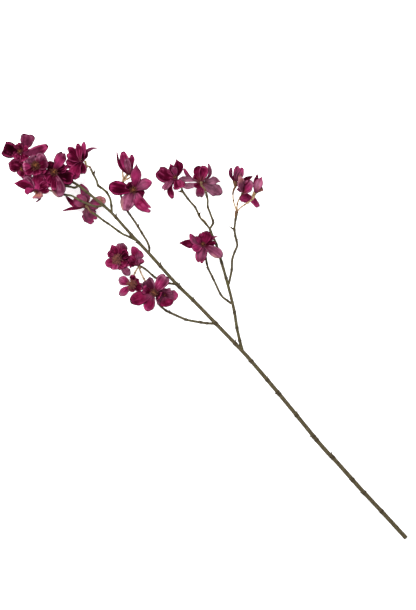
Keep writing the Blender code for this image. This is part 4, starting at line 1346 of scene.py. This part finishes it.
class PetalLooks(bpy.types.PropertyGroup):
    thickness: FloatProperty(
        name="Thickness", description="Of a petal, in millimetres", default=0.7, min=0.2)
    ruffle: FloatProperty(name="Ruffle", description="How much the edges wave", default=1.0, min=0.0)
    crumple: FloatProperty(
        name="Crumple", description="Height of the soft dents, in millimetres", default=0.7)
    ridges: FloatProperty(
        name="Ridges", description="Height of the folds that run to the tip, in millimetres", default=0.55)
    lip: FloatProperty(
        name="Lip", description="How far the margin curls, as a share of the half width", default=0.07)
    veins: FloatProperty(name="Veins", description="Veins across a petal", default=9.0, min=1.0)
    vein_depth: FloatProperty(
        name="Vein depth", description="How much darker the veins are", default=0.16)
    streaks: FloatProperty(name="Streaks", description="Streaks across a petal", default=6.0, min=1.0)
    # Painted highlight: how far the brightest streaks turn to the rim's colour.
    streak_highlight: FloatProperty(
        name="Glow", description="How far the streaks turn to the rim's colour", default=0.55)
    # Painted shade: how much darker the very edge is drawn.
    edge_shade: FloatProperty(name="Brink", description="How much darker the very edge is", default=0.45)
    sheen: FloatProperty(name="Sheen", description="The velvet on a petal", default=0.03, min=0.0, max=1.0)
    throat: colour("Throat", "The feet of the petals round the stamens", 0.075, 0.022, 0.014)
    # Painted shade: the near-black tone of the deepest hollows.
    black: colour("Black", "The deepest hollows", 0.012, 0.0005, 0.0025)
    wine: colour("Wine", "Dark petals", 0.050, 0.0014, 0.0105)
    burgundy: colour("Burgundy", "Deep red petals", 0.108, 0.0042, 0.026)
    magenta: colour("Magenta", "Bright petals", 0.200, 0.014, 0.065)
    rose: colour("Rose", "Bright edges and tips", 0.270, 0.035, 0.105)
    dusk: colour("Dusk", "Dusty dark undersides", 0.075, 0.009, 0.028)
    mauve: colour("Mauve", "Undersides", 0.148, 0.033, 0.070)
    lilac: colour("Lilac", "Pale undersides", 0.255, 0.092, 0.150)
    pink: colour("Pink", "The palest edges", 0.410, 0.155, 0.240)
    tan: colour("Tan", "Faded tips", 0.290, 0.110, 0.085)
    cream: colour("Cream", "Faded edges", 0.480, 0.270, 0.200)


class HeartLooks(bpy.types.PropertyGroup):
    dome: FloatProperty(
        name="Dome", description="Radius of the cone under the stamens, in millimetres", default=3.6)
    length: FloatProperty(
        name="Length", description="Of a stamen", default=0.0068, subtype="DISTANCE", precision=4)
    spacing: FloatProperty(
        name="Spacing", description="Between stamens", default=0.00072, subtype="DISTANCE", precision=5)
    foot: colour("Foot", "The stamens at their foot", 0.040, 0.008, 0.007)
    gold: colour("Gold", "The tips of the stamens in the middle", 0.270, 0.100, 0.034)
    olive: colour("Olive", "Duller tips among them", 0.095, 0.032, 0.018)
    brown: colour("Brown", "The tips of the outer stamens", 0.062, 0.014, 0.013)
    faded: colour("Faded", "The hearts that have faded", 0.240, 0.080, 0.075)


class StageLooks(bpy.types.PropertyGroup):
    floor: colour("Surface", "The pale surface", 0.93, 0.93, 0.93)
    lens: FloatProperty(name="Lens", description="Focal length in millimetres", default=400.0, min=20.0)
    shine: FloatProperty(
        name="Light from below", description="Strength of the surface's own light", default=0.50)
    around: FloatProperty(
        name="Light around", description="Strength of the light from all sides", default=0.85)
    key: FloatProperty(
        name="Key light", description="Power of the large soft light", default=80.0, unit="POWER")


class BRANCH_OT_bark(bpy.types.Operator):
    """Make the bark of the stem and its twigs, with their buds"""

    bl_idname = "branch.bark"
    bl_label = "Bark"

    def execute(self, context):
        looks = context.scene.branch_bark
        finish = bark_finish(looks)
        work = MeshWork()
        for name in TWIGS:
            add_twig(work, name, looks)
        sockets = {"Sides": looks.sides, "Unevenness": looks.unevenness}
        wood = grown("bark", work.mesh("twigs"), rods_tree(), finish, **sockets)
        buds = grown("buds", bud_points(), buds_tree(), finish)
        for title, value in (("knot", 1.0), ("young", 0.2), ("run", 0.0), ("around", 0.0)):
            mark(buds, title, value)
        add_piece("bark", joined(wood, buds), finish, "wood", "branch")
        return {"FINISHED"}


class BRANCH_OT_stalks(bpy.types.Operator):
    """Make the knobs, stalks and cups at each twig end"""

    bl_idname = "branch.stalks"
    bl_label = "Stalks"

    def execute(self, context):
        looks = context.scene.branch_stalks
        finish = stalk_finish(looks)
        tree = rods_tree()
        for name, stalks in STALKS.items():
            mesh = grown(name, stalks_lines(name, looks), tree, finish, Sides=looks.sides)
            mark(mesh, "young", stalks.green)
            add_piece(f"{name}_stalks", mesh, finish, "stalk", f"stalks_{name}")
        return {"FINISHED"}


class BRANCH_OT_petals(bpy.types.Operator):
    """Make the petals of each bloom"""

    bl_idname = "branch.petals"
    bl_label = "Petals"

    def execute(self, context):
        looks = context.scene.branch_petals
        finish = petal_finish(looks)
        tones = {name: tuple(getattr(looks, name)) for name in TONES}
        for seed, (name, bloom) in enumerate(BLOOMS.items()):
            work = MeshWork()
            for number in range(len(bloom.petals)):
                add_petal(work, bloom, number, looks, tones, seed * SEEDS_PER_BLOOM + number)
            add_base(work, bloom, tones)
            mesh = work.mesh(name)
            face_outwards(mesh)
            mesh.shade_smooth()
            add_piece(f"{name}_petals", mesh, finish, "petal", f"bloom_{name}_petals")
        return {"FINISHED"}


class BRANCH_OT_hearts(bpy.types.Operator):
    """Make the heart of stamens in each open bloom"""

    bl_idname = "branch.hearts"
    bl_label = "Hearts"

    def execute(self, context):
        looks = context.scene.branch_hearts
        finish = heart_finish(looks)
        tree = stamens_tree()
        for seed, (name, bloom) in enumerate(BLOOMS.items()):
            if not bloom.heart:
                continue
            sockets = {"Length": looks.length * bloom.heart, "Spacing": looks.spacing, "Seed": seed}
            mesh = grown(name, heart_dome(bloom, looks), tree, finish, **sockets)
            mark(mesh, "faded", FADED_HEARTS.get(name, 0.0))
            add_piece(f"{name}_heart", mesh, finish, "heart", f"bloom_{name}_heart")
        return {"FINISHED"}


class BRANCH_OT_stage(bpy.types.Operator):
    """Make the pale surface, the soft light and the camera that looks down"""

    bl_idname = "branch.stage"
    bl_label = "Stage"

    def execute(self, context):
        looks = context.scene.branch_stage
        shape = bmesh.new()
        bmesh.ops.create_grid(shape, x_segments=2, y_segments=2, size=FLOOR_HALF)
        mesh = bpy.data.meshes.new("pale_surface")
        shape.to_mesh(mesh)
        shape.free()
        mesh.materials.append(floor_finish(looks))
        floor = linked("pale_surface", mesh)
        floor.location.z = -FLOOR_DROP

        world = bpy.data.worlds.new("Soft light")
        context.scene.world = world
        world.use_nodes = True
        sky = world.node_tree.nodes["Background"]
        sky.inputs["Color"].default_value = (1.0, 1.0, 1.0, 1.0)
        sky.inputs["Strength"].default_value = looks.around

        middle = LAID @ plan(*VIEW_MIDDLE)
        lamp = bpy.data.lights.new("key", "AREA")
        lamp.shape = "DISK"
        lamp.size = LAMP_SIZE
        lamp.energy = looks.key
        key = linked("key", lamp)
        key.location = middle + LAID.to_3x3() @ Vector(LAMP_PLACE)
        key.rotation_euler = (middle - key.location).to_track_quat("-Z", "Y").to_euler()

        lens = bpy.data.cameras.new("camera")
        lens.sensor_fit = "VERTICAL"
        lens.sensor_height = 36.0
        lens.lens = looks.lens
        lens.clip_end = 100.0
        camera = linked("camera", lens)
        camera.location = middle + UP * looks.lens / lens.sensor_height * VIEW_HEIGHT * MM
        camera.rotation_euler = (0, 0, -STEM_LEAN)
        context.scene.camera = camera
        context.scene.view_settings.view_transform = "Standard"
        return {"FINISHED"}


GROUPS = {
    "bark": BarkLooks,
    "stalks": StalkLooks,
    "petals": PetalLooks,
    "hearts": HeartLooks,
    "stage": StageLooks,
}
OPERATORS = (BRANCH_OT_bark, BRANCH_OT_stalks, BRANCH_OT_petals, BRANCH_OT_hearts, BRANCH_OT_stage)


class BRANCH_PT_panel(bpy.types.Panel):
    """The sizes and colours of the branch, with a button for each of its pieces"""

    bl_label = "Flowering Branch"
    bl_idname = "BRANCH_PT_panel"
    bl_space_type = "VIEW_3D"
    bl_region_type = "UI"
    bl_category = "Branch"

    def draw(self, context):
        for name, group in GROUPS.items():
            box = self.layout.box()
            box.operator(f"branch.{name}")
            for field in group.__annotations__:
                box.prop(getattr(context.scene, f"branch_{name}"), field)


def register():
    for group in (*GROUPS.values(), *OPERATORS, BRANCH_PT_panel):
        bpy.utils.register_class(group)
    for name, group in GROUPS.items():
        setattr(bpy.types.Scene, f"branch_{name}", PointerProperty(type=group))


def unregister():
    for name in GROUPS:
        delattr(bpy.types.Scene, f"branch_{name}")
    for group in (BRANCH_PT_panel, *reversed(OPERATORS), *reversed(list(GROUPS.values()))):
        bpy.utils.unregister_class(group)


def main():
    register()
    for name in GROUPS:
        getattr(bpy.ops.branch, name)()


if __name__ == "__main__":
    main()
